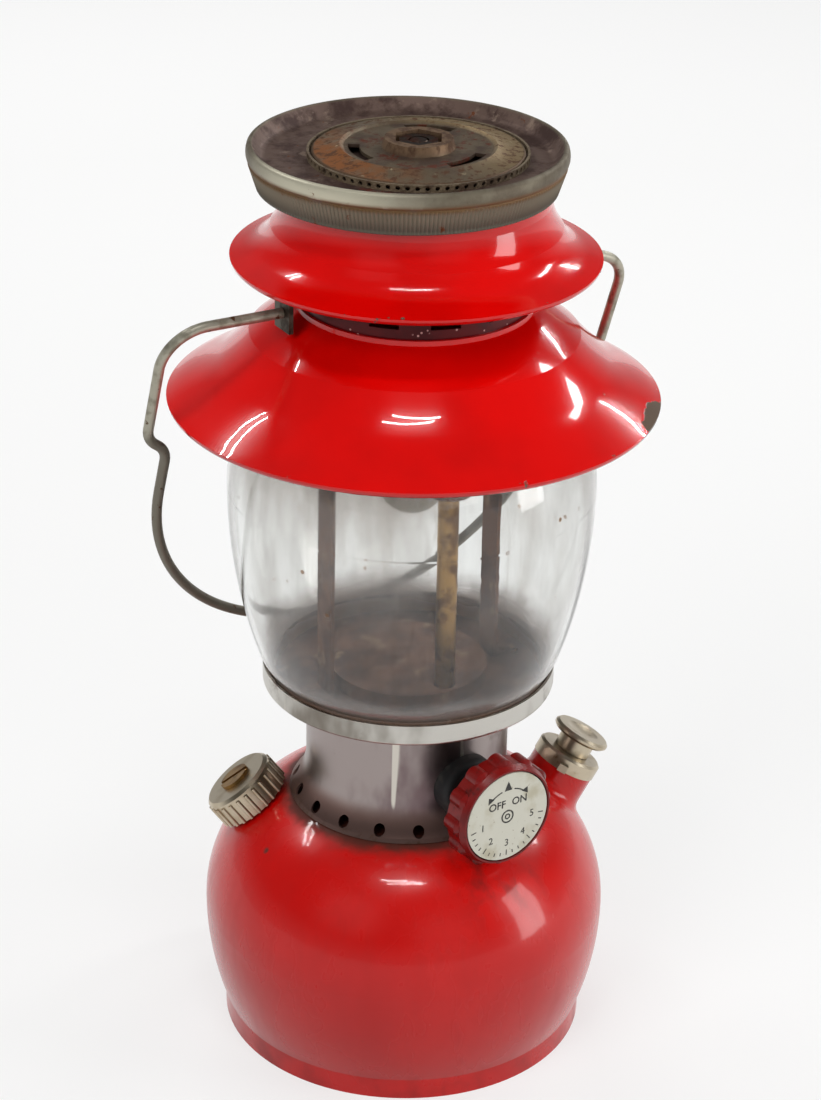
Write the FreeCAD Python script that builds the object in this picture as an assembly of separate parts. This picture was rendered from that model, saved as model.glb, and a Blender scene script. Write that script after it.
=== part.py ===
import FreeCAD, Part
import math
import os
from FreeCAD import Placement, Rotation, Vector

# Gas lantern with one mantle, in millimetres.
# Origin: centre of the foot ring, on the plane the lantern stands on.
# +Z is up, the bail swings about the X axis, and the valve wheel is at the front (-Y).

# Clearances
running_clearance = 0.05
loose_clearance = 0.3

# Fount: the pressed steel fuel tank
fount_radius = 65.0
fount_belly_height = 41.0
fount_shoulder_radius = 43.0
fount_foot_inset = 6.2
fount_foot_height = 7.0
fount_crown_radius = 36.5
fount_wall = 0.9
fount_seam_angle = 60.0
base_pan_height = 5.0
base_pan_wall = 0.8

# Collar: the nickel plated band with a row of air holes
collar_radius = 32.3
collar_wall = 0.7
collar_height = 39.8
collar_foot_flare = 4.6
collar_flare_height = 14.0
collar_lip_width = 0.7
collar_lip_height = 1.2
air_hole_count = 18
air_hole_radius = 1.8
air_hole_height = 3.1
air_hole_first_angle = -113.0

# Globe seat: the nickel ring and the floor plate under the globe
seat_radius = 46.2
seat_wall = 0.8
seat_band_height = 6.9
seat_corner = 1.2
floor_plate_wall = 0.8
floor_plate_dome_radius = 25.0
floor_plate_dome_height = 5.0

# Globe: clear glass barrel
globe_radius = 57.0
globe_wall = 2.0
globe_foot_radius = 44.8
globe_base_round = 5.6
globe_base_bow = 0.4
globe_shoulder_drop = 8.9
globe_lower_rise = 54.0
globe_upper_rise = 40.0
globe_mouth_radius = 43.0
globe_mouth_band = 3.0

# Frame: the bent strap and its stud
frame_half_width = 29.0
frame_strap_width = 9.0
frame_strap_thickness = 1.2
frame_foot_length = 9.0
frame_height = 113.4
frame_disc_radius = 18.0
stud_radius = 3.0
stud_flange_radius = 6.0
stud_flange_height = 2.0
stud_point = 0.6
rivet_shank_radius = 1.0
rivet_head_radius = 1.8
rivet_head_height = 0.9
rivet_spacing = 4.4

# Valve, fuel pipe and generator, all on one upright line inside the collar
valve_angle = -85.5
valve_offset = 20.0
valve_stem_rise = 15.7
valve_column_radius = 6.5
valve_column_height = 25.2
valve_boss_radius = 5.0
valve_boss_reach = 6.0
valve_chamber_radius = 3.0
valve_chamber_depth = 20.0
packing_nut_flats = 12.0
packing_nut_length = 4.6
stem_radius = 2.0
eccentric_pin_radius = 0.6
eccentric_pin_length = 1.4
eccentric_offset = 1.0
boot_radius = 10.4
boot_proud = 5.0
boot_depth = 3.2
boot_edge = 2.2
bushing_flange_radius = 8.6
bushing_flange_height = 2.0
bushing_shank_radius = 6.5
bushing_shank_length = 5.0
fuel_pipe_radius = 3.0
fuel_pipe_wall = 0.8
fuel_pipe_floor_gap = 3.0
generator_radius = 3.2
generator_wall = 1.0
generator_length = 87.3
generator_nut_flats = 13.0
generator_nut_height = 6.5
gas_tip_height = 7.0
gas_tip_nose_radius = 1.4
gas_tip_nose_length = 1.0
gas_tip_face = 2.0
gas_tip_bore_radius = 0.5
needle_rod_radius = 0.8
needle_point_radius = 0.3
needle_point_length = 6.5
needle_foot_width = 2.4
needle_foot_height = 4.0

# Valve wheel
wheel_radius = 18.4
wheel_lobe_count = 12
wheel_lobe_radius = 3.2
wheel_lobe_depth = 1.4
wheel_lobe_edge = 1.2
wheel_thickness = 10.5
wheel_edge = 2.0
wheel_stand_off = 8.0
wheel_hub_radius = 6.0
wheel_hub_length = 1.6
wheel_face_recess = 2.4
wheel_face_radius = 15.4
wheel_face_lip = 0.6
wheel_nut_flats = 6.5
wheel_nut_height = 1.4
dial_radius = 15.0
dial_thickness = 0.8

# Burner
mixing_pipe_radius = 6.0
mixing_pipe_wall = 0.8
mixing_bell_radius = 7.2
mixing_bell_length = 6.0
mixing_leg_length = 18.0
burner_leg_length = 7.0
mixing_top_gap = 2.0
burner_cap_radius = 8.6
burner_cap_height = 9.0
burner_cap_lap = 4.0
burner_groove_depth = 0.9
burner_groove_rise = 3.0
burner_groove_height = 2.0
burner_groove_slope = 0.4
gauze_rise = 1.0
gauze_thickness = 0.6
mantle_radius = 12.0
mantle_foot_radius = 8.6
mantle_foot_rise = 4.0
mantle_wall = 0.5
mantle_length = 34.0
mantle_skirt = 5.0
mantle_top_drop = 1.0

# Ventilator: two enamelled tiers on a slotted neck
lower_brim_radius = 75.0
lower_brim_height = 217.0
lower_crease_radius = 50.0
lower_crease_rise = 22.5
lower_skirt_bow = 1.6
lower_crown_hollow = 0.6
lower_crown_lip = 1.5
lower_crown_rise = 31.0
enamel_wall = 1.0
brim_roll = 2.2
neck_radius = 35.0
neck_wall = 0.8
neck_slot_count = 12
neck_slot_width = 9.0
neck_slot_height = 6.0
neck_slot_rise = 4.5
upper_brim_radius = 55.6
upper_brim_height = 261.4
upper_crease_radius = 43.5
upper_crease_rise = 11.5
upper_skirt_bow = 1.9
upper_crown_radius = 40.0
upper_crown_rise = 19.6
upper_crown_bow = 0.6
upper_top_rise = 31.0
spider_height = 6.0
spider_rim_width = 3.0
spider_wall = 1.2
spider_hub_radius = 8.0
spider_spoke_width = 7.0
spider_spoke_count = 4
retainer_wall = 0.8
retainer_reach = 9.0
retainer_post_count = 4
retainer_post_radius = 2.0
retainer_post_offset = 4.0

# Bail and its ears
bail_rise = 4.3
bail_wire_radius = 1.6
bail_jog = 7.4
bail_bend_radius = 13.5
bail_leg_length = 23.5
bail_jog_radius = 9.0
bail_side_play = 3.3
bail_end_gap = 0.4
ear_reach = 45.0
ear_thickness = 1.5
ear_width = 9.0
ear_height = 10.6

# Hot plate and cap on top
plate_flare = 3.3
plate_edge = 1.2
plate_shoulder = 2.8
plate_shoulder_bow = 0.4
plate_band_height = 12.9
plate_band_wall = 1.3
plate_floor_drop = 4.2
plate_floor_wall = 1.0
plate_hole_radius = 9.4
plate_collar_radius = 6.3
plate_shift_angle = 150.0
screen_radius = 32.8
screen_wall = 0.7
screen_height = 2.2
screen_hole_count = 72
screen_hole_radius = 0.7
cap_radius = 31.4
cap_gap = 0.5
cap_rise = 1.6
cap_wall = 1.7
cap_edge = 0.4
cap_band_bow = 0.4
cap_recess_radius = 22.0
cap_recess_slope = 1.2
cap_recess_depth = 0.7
cap_slot_count = 3
cap_slot_first_angle = 50.0
cap_slot_radius = 19.0
cap_slot_width = 3.4
cap_slot_angle = 45.0
hub_radius = 10.9
hub_edge = 0.8
hub_rise = 2.8
hub_socket_flats = 13.4
washer_radius = 6.3
washer_thickness = 0.6
nut_flats = 11.4
nut_height = 1.5
nut_edge = 0.5

# Pump
pump_angle = -11.0
pump_tilt = 30.0
pump_mouth_radius = 54.9
pump_mouth_rise = 11.5
pump_tube_radius = 9.7
pump_tube_wall = 1.1
pump_floor_gap = 2.2
pump_neck_wall = 0.9
pump_neck_depth = 24.0
pump_neck_round = 4.0
pump_cap_radius = 10.9
pump_cap_height = 5.0
pump_cap_edge = 0.8
pump_cap_lug_angle = 60.0
pump_cap_lug_width = 3.0
pump_cap_lug_reach = 1.6
plunger_radius = 4.0
plunger_bore_radius = 2.6
plunger_length = 60.0
knob_neck_radius = 6.0
knob_neck_height = 5.2
knob_plate_radius = 9.6
knob_plate_thickness = 2.4
knob_edge = 0.8
knob_gap = 0.2
knob_dimple_radius = 5.5
knob_dimple_depth = 0.8
leather_length = 5.0
leather_wall = 1.2
leather_washer_radius = 6.0
leather_washer_thickness = 1.0
air_stem_radius = 1.9
air_stem_length = 42.0
air_stem_foot_gap = 2.0
check_valve_length = 9.0
check_valve_nose_radius = 4.0
check_valve_nose_length = 6.0
check_ball_radius = 1.6
check_seat_wall = 1.2

# Filler
filler_angle = 150.0
filler_seat_radius = 49.0
filler_neck_radius = 9.5
filler_neck_wall = 1.6
filler_neck_rise = 5.0
filler_neck_depth = 4.0
filler_cap_radius = 12.2
filler_cap_height = 9.6
filler_cap_edge = 1.0
filler_cap_wall = 1.6
filler_cap_gap = 0.6
filler_ridge_count = 24
filler_ridge_radius = 0.7
gasket_thickness = 1.4
insert_flange_thickness = 1.2
insert_plug_radius = 5.0
insert_plug_length = 5.0
filler_screw_radius = 3.2
filler_screw_flange = 5.2
filler_screw_head = 1.2

# Heights and radii that follow from the sizes above
fount_foot_radius = fount_radius - fount_foot_inset
shoulder_centre = fount_radius - fount_shoulder_radius


def shoulder_height(radius, inset=0.0):
    """Height of the fount's shoulder at a radius, or of its inside face."""
    arc = fount_shoulder_radius - inset
    return fount_belly_height + math.sqrt(arc**2 - (radius - shoulder_centre) ** 2)


fount_top = shoulder_height(fount_crown_radius)
shelf_bottom = fount_top + collar_height
shelf_top = shelf_bottom + seat_wall
floor_top = shelf_top + floor_plate_wall
globe_bottom = floor_top
globe_foot_high = shelf_bottom + seat_band_height + 2 * loose_clearance
globe_base_high = globe_foot_high + globe_base_round
globe_belly = globe_base_high + globe_lower_rise
globe_shoulder_radius = globe_radius - globe_shoulder_drop
globe_mouth = globe_belly + globe_upper_rise
globe_top = globe_mouth + globe_mouth_band
frame_top = floor_top + frame_height
stem_height = fount_top + valve_stem_rise
column_bottom = fount_top + bushing_flange_height
column_top = column_bottom + valve_column_height
generator_top = column_top + generator_length
mixing_bend_radius = valve_offset / 2
mixing_bend_top = frame_top - frame_strap_thickness - mixing_top_gap
mixing_bend_height = mixing_bend_top - mixing_pipe_radius - mixing_bend_radius
lower_crease_height = lower_brim_height + lower_crease_rise
lower_crown_height = lower_brim_height + lower_crown_rise
upper_crease_height = upper_brim_height + upper_crease_rise
upper_crown_height = upper_brim_height + upper_crown_rise
upper_top = upper_brim_height + upper_top_rise
neck_top = upper_top - enamel_wall
plate_bottom = upper_top + plate_floor_wall + plate_floor_drop - plate_band_height
plate_floor_top = upper_top + plate_floor_wall
plate_shift = plate_hole_radius - plate_collar_radius - running_clearance
plate_foot_radius = upper_crown_radius + plate_shift + loose_clearance + plate_band_wall
plate_radius = plate_foot_radius + plate_flare
cap_edge_low = plate_floor_top + cap_gap
cap_bottom = cap_edge_low + cap_rise
cap_top = cap_bottom + cap_wall
socket_floor = cap_top - cap_recess_depth
stud_top = socket_floor + washer_thickness + nut_height
pump_mouth_height = shoulder_height(pump_mouth_radius) + pump_mouth_rise
check_nose_drop = check_valve_nose_radius * math.sin(math.radians(pump_tilt))
pump_drop = pump_mouth_height - base_pan_height - pump_floor_gap - check_nose_drop
pump_tube_length = pump_drop / math.cos(math.radians(pump_tilt)) - check_valve_nose_length
pump_bore_radius = pump_tube_radius - pump_tube_wall
bail_end_inset = neck_radius + bail_side_play + bail_end_gap
bail_rest_radius = seat_radius + bail_wire_radius + loose_clearance
bail_height = lower_crown_height + bail_rise
bail_rest_drop = bail_height - shelf_bottom - seat_band_height / 2
bail_brim_drop = bail_height - lower_brim_height - brim_roll
bail_brim_offset = bail_brim_drop * bail_rest_radius / bail_rest_drop
bail_brim_touch = lower_brim_radius + bail_wire_radius + loose_clearance
bail_half_width = math.sqrt(bail_brim_touch**2 - bail_brim_offset**2) + bail_side_play
bail_waist_half_width = bail_half_width - bail_jog
bail_reach = math.hypot(bail_rest_radius, bail_rest_drop)
bail_arch_start = bail_reach - bail_waist_half_width
filler_tilt = math.degrees(math.asin((filler_seat_radius - shoulder_centre) / fount_shoulder_radius))
filler_stack = filler_neck_rise + gasket_thickness + insert_flange_thickness + filler_cap_gap
filler_cap_top = filler_stack + filler_cap_wall
filler_cap_low = filler_cap_top - filler_cap_height


# Shape helpers

def corner_vector(corner):
    """A corner (radius, height) as a point in the plane y = 0."""
    return Vector(corner[0], 0, corner[1])


def revolved(corners):
    """Solid of revolution about Z. A corner (r, z) ends a straight side, and a
    corner (r, z, via_r, via_z) ends an arc through the point (via_r, via_z)."""
    edges = []
    start = corner_vector(corners[-1])
    for corner in corners:
        end = corner_vector(corner)
        if len(corner) == 4:
            via = Vector(corner[2], 0, corner[3])
            edges.append(Part.Arc(start, via, end).toShape())
        else:
            edges.append(Part.LineSegment(start, end).toShape())
        start = end
    face = Part.Face(Part.Wire(edges))
    return face.revolve(Vector(0, 0, 0), Vector(0, 0, 1), 360)


def disc(radius, low, high):
    """Upright solid cylinder on the Z axis."""
    return Part.makeCylinder(radius, high - low, Vector(0, 0, low))


def tube(outer, inner, low, high):
    """Upright hollow cylinder on the Z axis."""
    return disc(outer, low, high).cut(disc(inner, low, high))


def block(low_corner, high_corner):
    """Box between two corners."""
    size = [high - low for low, high in zip(low_corner, high_corner)]
    return Part.makeBox(size[0], size[1], size[2], Vector(*low_corner))


def hexagon(flats, low, high):
    """Upright hexagonal prism on the Z axis, measured across its flats."""
    corner_radius = flats / math.sqrt(3)
    corners = []
    for side in range(7):
        angle = math.radians(60 * side)
        corners.append(Vector(corner_radius * math.cos(angle), corner_radius * math.sin(angle), low))
    return Part.Face(Part.makePolygon(corners)).extrude(Vector(0, 0, high - low))


def turned(shape, angle):
    """A copy turned about Z by an angle in degrees."""
    return placed(shape, Placement(Vector(0, 0, 0), Rotation(Vector(0, 0, 1), angle)))


def placed(shape, placement):
    """A copy moved by a placement."""
    copy = shape.copy()
    copy.Placement = placement.multiply(copy.Placement)
    return copy


def joined(shapes):
    """One solid from touching shapes."""
    first = shapes[0]
    return first.fuse(shapes[1:]).removeSplitter()


def around(shape, count, first_angle=0.0):
    """Copies of a shape evenly spaced about Z."""
    copies = []
    for index in range(count):
        copies.append(turned(shape, first_angle + 360.0 * index / count))
    return copies


def arc_radius(rise, drop):
    """Radius of an arc that starts upright and leans over by a drop within a rise."""
    return (rise**2 + drop**2) / (2 * drop)


def arc_bow(rise, drop):
    """How far such an arc has leaned over half way up its rise. On a dome or dish, with
    its radius for the rise, it is the fall from the centre to half way out."""
    arc = arc_radius(rise, drop)
    return arc - math.sqrt(arc**2 - rise**2 / 4)


def bowed_middle(start, end, bow):
    """Middle of a straight side between two corners, moved out to its left by a bow."""
    run = (end[0] - start[0], end[1] - start[1])
    length = math.hypot(*run)
    across = (start[0] + end[0]) / 2 + bow * run[1] / length
    up = (start[1] + end[1]) / 2 - bow * run[0] / length
    return (across, up)


def corner_cut(radius):
    """How far the middle of a quarter round lies inside its corner, along each side."""
    return radius * (1 - math.sqrt(0.5))


def valve_placement(height):
    """Upright line of the valve and generator."""
    turn = Rotation(Vector(0, 0, 1), valve_angle)
    return Placement(turn.multVec(Vector(valve_offset, 0, height)), turn)


def stem_placement():
    """Frame whose Z runs outwards along the valve stem, from the lantern's axis."""
    turn = Rotation(Vector(0, 0, 1), valve_angle).multiply(Rotation(Vector(0, 1, 0), 90))
    return Placement(Vector(0, 0, stem_height), turn)


def pump_placement():
    """Frame whose Z runs up and out along the pump, from its mouth."""
    turn = Rotation(Vector(0, 0, 1), pump_angle)
    mouth = turn.multVec(Vector(pump_mouth_radius, 0, pump_mouth_height))
    return Placement(mouth, turn.multiply(Rotation(Vector(0, 1, 0), pump_tilt)))


def filler_placement():
    """Frame whose Z leaves the fount's shoulder through the filler."""
    turn = Rotation(Vector(0, 0, 1), filler_angle)
    seat = turn.multVec(Vector(filler_seat_radius, 0, shoulder_height(filler_seat_radius)))
    return Placement(seat, turn.multiply(Rotation(Vector(0, 1, 0), filler_tilt)))


# Fount

def fount_body(inset, bottom):
    """The tank's round body, drawn in by an inset from its outside."""
    foot = fount_foot_radius - inset
    belly = fount_radius - inset
    rise = fount_belly_height - fount_foot_height
    flank = belly - arc_bow(rise, belly - foot)
    top = fount_top - inset
    arc = fount_shoulder_radius - inset
    angle = math.asin((top - fount_belly_height) / arc)
    crown = shoulder_centre + arc * math.cos(angle)
    shoulder = shoulder_centre + arc * math.cos(angle / 2)
    return revolved([
        (0, bottom),
        (foot, bottom),
        (foot, fount_foot_height),
        (belly, fount_belly_height, flank, fount_foot_height + rise / 2),
        (crown, top, shoulder, fount_belly_height + arc * math.sin(angle / 2)),
        (0, top),
    ])


def fount_outside():
    """The tank's outside, with a short neck drawn out round the pump and blended in."""
    body = turned(fount_body(0, 0), fount_seam_angle)
    neck = placed(disc(pump_tube_radius + pump_neck_wall, -pump_neck_depth, 0), pump_placement())
    body = body.fuse(neck)
    meeting = [edge for edge in body.Edges if edge.Curve.TypeId == "Part::GeomBSplineCurve"]
    return body.makeFillet(pump_neck_round, meeting)


def fount_shell():
    """Drawn steel tank, open at its foot, with holes for the pump, filler and valve."""
    shell = fount_outside().cut(fount_body(fount_wall, -fount_wall))
    pump_hole = placed(disc(pump_tube_radius, -pump_tube_length / 2, 0), pump_placement())
    filler_hole = placed(disc(filler_neck_radius, -filler_neck_depth, filler_neck_rise), filler_placement())
    valve_hole = placed(disc(bushing_shank_radius, -bushing_shank_length, 0), valve_placement(fount_top))
    return shell.cut(pump_hole).cut(filler_hole).cut(valve_hole)


def base_pan():
    """Pressed pan soldered into the foot of the tank."""
    rim = fount_foot_radius - fount_wall
    return revolved([
        (0, base_pan_height - base_pan_wall),
        (rim - base_pan_wall, base_pan_height - base_pan_wall),
        (rim - base_pan_wall, 0),
        (rim, 0),
        (rim, base_pan_height),
        (0, base_pan_height),
    ])


def filler_neck():
    """Short threaded neck soldered into the shoulder."""
    bore = filler_neck_radius - filler_neck_wall
    return placed(tube(filler_neck_radius, bore, -filler_neck_depth, filler_neck_rise), filler_placement())


def filler_gasket():
    """Flat rubber ring on top of the neck."""
    low = filler_neck_rise
    ring = tube(filler_neck_radius, insert_plug_radius, low, low + gasket_thickness)
    return placed(ring, filler_placement())


def filler_insert():
    """Flanged plug that the gasket sits on, with a blind hole for the cap screw."""
    flange_low = filler_neck_rise + gasket_thickness
    flange_high = flange_low + insert_flange_thickness
    plug = disc(insert_plug_radius, flange_low - insert_plug_length, flange_low)
    flange = disc(filler_neck_radius, flange_low, flange_high)
    bore = disc(filler_screw_radius + running_clearance, flange_low - insert_plug_length / 2, flange_high)
    return placed(joined([plug, flange]).cut(bore), filler_placement())


def filler_cap():
    """Ridged nickel cap."""
    low = filler_cap_low
    high = filler_cap_top
    edge = filler_cap_edge
    shell = revolved([
        (0, low),
        (filler_cap_radius, low),
        (filler_cap_radius, high - edge),
        (filler_cap_radius - edge, high),
        (0, high),
    ])
    ridge = disc(filler_ridge_radius, low, high - 2 * edge)
    ridge = placed(ridge, Placement(Vector(filler_cap_radius, 0, 0), Rotation()))
    cap = joined([shell] + around(ridge, filler_ridge_count))
    hollow = disc(filler_neck_radius + running_clearance, low, high - filler_cap_wall)
    screw_hole = disc(filler_screw_radius, low, high)
    return placed(cap.cut(hollow).cut(screw_hole), filler_placement())


def filler_screw():
    """Screw that holds the insert inside the cap."""
    flange_low = filler_neck_rise + gasket_thickness
    high = filler_cap_top
    shank = disc(filler_screw_radius, flange_low - insert_plug_length / 2 + loose_clearance, high)
    head = disc(filler_screw_flange, high, high + filler_screw_head)
    slot_half = filler_screw_radius / 4
    slot = block(
        (-filler_screw_flange, -slot_half, high + filler_screw_head / 2),
        (filler_screw_flange, slot_half, high + filler_screw_head),
    )
    return placed(joined([shank, head]).cut(slot), filler_placement())


# Pump

def pump_tube():
    """Pump barrel, brazed into the tank's neck."""
    barrel = tube(pump_tube_radius, pump_bore_radius, -pump_tube_length, 0)
    return placed(barrel, pump_placement())


def pump_cap():
    """Nickel cap with two lugs; the plunger runs through it."""
    body = revolved([
        (0, 0),
        (pump_cap_radius, 0),
        (pump_cap_radius, pump_cap_height - pump_cap_edge),
        (pump_cap_radius - pump_cap_edge, pump_cap_height),
        (0, pump_cap_height),
    ])
    half = pump_cap_lug_width / 2
    reach = pump_cap_radius + pump_cap_lug_reach
    lug = block((pump_bore_radius, -half, 0), (reach, half, pump_cap_height / 2))
    cap = joined([body] + around(lug, 2, pump_cap_lug_angle))
    return placed(cap.cut(disc(plunger_radius + running_clearance, 0, pump_cap_height)), pump_placement())


def knob_bottom():
    """Distance of the knob's neck from the pump's mouth, along the pump."""
    return pump_cap_height + knob_gap


def pump_knob():
    """Plunger tube and thumb plate in one piece."""
    low = knob_bottom()
    neck_top = low + knob_neck_height
    high = neck_top + knob_plate_thickness
    dimple_low = high - knob_dimple_depth
    plunger = disc(plunger_radius, low - plunger_length, low)
    neck = disc(knob_neck_radius, low, neck_top)
    plate = revolved([
        (0, neck_top),
        (knob_plate_radius - knob_edge, neck_top),
        (knob_plate_radius, neck_top + knob_edge),
        (knob_plate_radius, high - knob_edge),
        (knob_plate_radius - knob_edge, high),
        (knob_dimple_radius, high),
        (0, dimple_low, knob_dimple_radius / 2, dimple_low + arc_bow(knob_dimple_radius, knob_dimple_depth)),
    ])
    bore = disc(plunger_bore_radius, low - plunger_length, low)
    return placed(joined([plunger, neck, plate]).cut(bore), pump_placement())


def leather_low():
    """Distance of the leather's open end from the pump's mouth."""
    return knob_bottom() - plunger_length


def pump_leather():
    """Leather cup that seals in the barrel; its lip points down."""
    low = leather_low()
    high = low + leather_length
    outer = pump_bore_radius - loose_clearance
    cup = revolved([
        (plunger_radius + running_clearance, high - leather_wall),
        (outer - leather_wall, high - leather_wall),
        (outer - leather_wall, low),
        (outer, low),
        (outer - leather_wall / 2, high),
        (plunger_radius + running_clearance, high),
    ])
    return placed(cup, pump_placement())


def leather_washers():
    """Steel washers that clamp the leather on the plunger's end."""
    high = leather_low() + leather_length
    bore = plunger_radius + running_clearance
    above = tube(leather_washer_radius, bore, high, high + leather_washer_thickness)
    below_high = high - leather_wall
    below = tube(leather_washer_radius, bore, below_high - leather_washer_thickness, below_high)
    return placed(Part.makeCompound([above, below]), pump_placement())


def check_seat():
    """Distance of the ball's seat from the pump's mouth."""
    return check_seat_wall - pump_tube_length - check_valve_nose_length


def check_valve():
    """Brass plug at the foot of the barrel with a threaded bore and a ball seat."""
    low = -pump_tube_length
    body = disc(pump_bore_radius, low, low + check_valve_length)
    nose = disc(check_valve_nose_radius, low - check_valve_nose_length, low)
    stem_bore = disc(air_stem_radius + running_clearance, low, low + check_valve_length)
    cage = disc(check_ball_radius + loose_clearance, check_seat(), low)
    outlet = disc(check_ball_radius / 2, low - check_valve_nose_length, low)
    return placed(joined([body, nose]).cut(stem_bore).cut(cage).cut(outlet), pump_placement())


def check_ball():
    """Steel ball that closes the check valve."""
    centre = check_seat() + check_ball_radius * math.sqrt(0.75)
    return placed(Part.makeSphere(check_ball_radius, Vector(0, 0, centre)), pump_placement())


def air_stem():
    """Rod inside the plunger that screws into the check valve."""
    low = air_stem_foot_gap - pump_tube_length
    return placed(disc(air_stem_radius, low, low + air_stem_length), pump_placement())


# Collar and globe seat

def collar_body(inset):
    """The collar's round body, drawn in by an inset from its outside."""
    radius = collar_radius - inset
    foot = radius + collar_foot_flare
    flare_low = fount_top + collar_lip_height
    flare_high = fount_top + collar_flare_height
    waist = radius + arc_bow(flare_high - flare_low, collar_foot_flare)
    return revolved([
        (0, fount_top),
        (foot + collar_lip_width, fount_top),
        (foot, flare_low),
        (radius, flare_high, waist, (flare_low + flare_high) / 2),
        (radius, shelf_bottom),
        (0, shelf_bottom),
    ])


def stem_opening(radius):
    """Cylinder along the valve stem through the front of the collar."""
    return placed(disc(radius, collar_radius / 2, collar_radius + collar_foot_flare), stem_placement())


def collar():
    """Nickel band between the fount and the globe seat."""
    band = collar_body(0).cut(collar_body(collar_wall))
    hole_height = fount_top + air_hole_height
    reach = collar_radius + collar_foot_flare + collar_lip_width
    hole = Part.makeCylinder(air_hole_radius, reach, Vector(0, 0, hole_height), Vector(1, 0, 0))
    for copy in around(hole, air_hole_count, air_hole_first_angle):
        band = band.cut(copy)
    return band.cut(stem_opening(boot_radius))


def globe_seat():
    """Nickel ring and shelf that the globe stands in."""
    inside = seat_radius - seat_wall
    top = shelf_bottom + seat_band_height
    corner_via = corner_cut(seat_corner)
    ring = revolved([
        (collar_radius - collar_wall, shelf_bottom),
        (seat_radius - seat_corner, shelf_bottom),
        (seat_radius, shelf_bottom + seat_corner, seat_radius - corner_via, shelf_bottom + corner_via),
        (seat_radius, top),
        (inside, top),
        (inside, shelf_top),
        (collar_radius - collar_wall, shelf_top),
    ])
    return ring.cut(rivet_holes(shelf_bottom, shelf_top))


def floor_plate():
    """Domed steel plate over the shelf: the floor of the burner space."""
    inside = seat_radius - seat_wall
    dome = floor_plate_dome_radius
    dome_top = floor_top + floor_plate_dome_height
    plate = revolved([
        (dome - floor_plate_wall, shelf_top),
        (inside, shelf_top),
        (inside, floor_top),
        (dome, floor_top),
        (dome, dome_top),
        (0, dome_top),
        (0, dome_top - floor_plate_wall),
        (dome - floor_plate_wall, dome_top - floor_plate_wall),
    ])
    generator_hole = disc(generator_radius + loose_clearance, shelf_bottom, dome_top)
    plate = plate.cut(placed(generator_hole, valve_placement(0)))
    return plate.cut(rivet_holes(shelf_top, floor_top))


# Frame

def rivet_spots():
    """Centres of the rivets through the frame's feet."""
    middle = frame_half_width + frame_foot_length / 2 + frame_strap_thickness / 2
    spots = []
    for side in (-1, 1):
        for along in (-1, 1):
            spots.append((side * middle, along * rivet_spacing / 2))
    return spots


def rivet_holes(low, high):
    """Cutters for the rivets' shanks between two heights."""
    hole = disc(rivet_shank_radius, low, high)
    return [placed(hole, Placement(Vector(x, y, 0), Rotation())) for x, y in rivet_spots()]


def frame():
    """Steel strap bent over the burner, with a round top and two feet."""
    half = frame_strap_width / 2
    outer = frame_half_width + frame_strap_thickness
    under_top = frame_top - frame_strap_thickness
    pieces = [
        block((-outer, -half, under_top), (outer, half, frame_top)),
        disc(frame_disc_radius, under_top, frame_top),
    ]
    for side in (-1, 1):
        inner_x = side * frame_half_width
        outer_x = side * outer
        foot_x = side * (frame_half_width + frame_foot_length)
        low_x, high_x = sorted((inner_x, outer_x))
        pieces.append(block((low_x, -half, floor_top), (high_x, half, frame_top)))
        low_x, high_x = sorted((inner_x, foot_x))
        pieces.append(block((low_x, -half, floor_top), (high_x, half, floor_top + frame_strap_thickness)))
    strap = joined(pieces).cut(rivet_holes(floor_top, floor_top + frame_strap_thickness))
    return strap.cut(disc(stud_radius, under_top, frame_top))


def frame_rivets():
    """Four rivets that hold the frame, the floor plate and the globe seat together."""
    low = shelf_bottom
    high = floor_top + frame_strap_thickness
    rivet = joined([
        disc(rivet_shank_radius, low, high),
        disc(rivet_head_radius, high, high + rivet_head_height),
        disc(rivet_head_radius, low - rivet_head_height, low),
    ])
    rivets = [placed(rivet, Placement(Vector(x, y, 0), Rotation())) for x, y in rivet_spots()]
    return Part.makeCompound(rivets)


def frame_stud():
    """Threaded stud on the frame's top that the ventilator is held down by."""
    shank_top = stud_top - stud_point
    shank = disc(stud_radius, frame_top - frame_strap_thickness, shank_top)
    point = Part.makeCone(stud_radius, stud_radius - stud_point, stud_point, Vector(0, 0, shank_top))
    flange = hexagon(2 * stud_flange_radius, frame_top, frame_top + stud_flange_height)
    return joined([shank, point, flange])


# Valve and generator

def valve_bushing():
    """Threaded bush brazed into the fount's crown."""
    flange = disc(bushing_flange_radius, 0, bushing_flange_height)
    shank = disc(bushing_shank_radius, -bushing_shank_length, 0)
    bore = disc(fuel_pipe_radius, -bushing_shank_length, bushing_flange_height)
    return placed(joined([flange, shank]).cut(bore), valve_placement(fount_top))


def fuel_pipe():
    """Pipe from the bottom of the fount up to the valve."""
    low = base_pan_height + fuel_pipe_floor_gap
    pipe = tube(fuel_pipe_radius, fuel_pipe_radius - fuel_pipe_wall, low, column_bottom)
    return placed(pipe, valve_placement(0))


def valve_body():
    """Brass valve: an upright column with a side boss for the stem."""
    column = placed(disc(valve_column_radius, column_bottom, column_top), valve_placement(0))
    boss_end = valve_offset + valve_column_radius + valve_boss_reach
    boss = placed(disc(valve_boss_radius, valve_offset, boss_end), stem_placement())
    fuel_way = placed(disc(fuel_pipe_radius - fuel_pipe_wall, column_bottom, column_top), valve_placement(0))
    chamber_low = column_top - valve_chamber_depth
    chamber = placed(disc(valve_chamber_radius, chamber_low, column_top), valve_placement(0))
    stem_way = placed(disc(stem_radius + running_clearance, valve_offset, boss_end), stem_placement())
    return joined([column, boss]).cut(fuel_way).cut(chamber).cut(stem_way)


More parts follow.
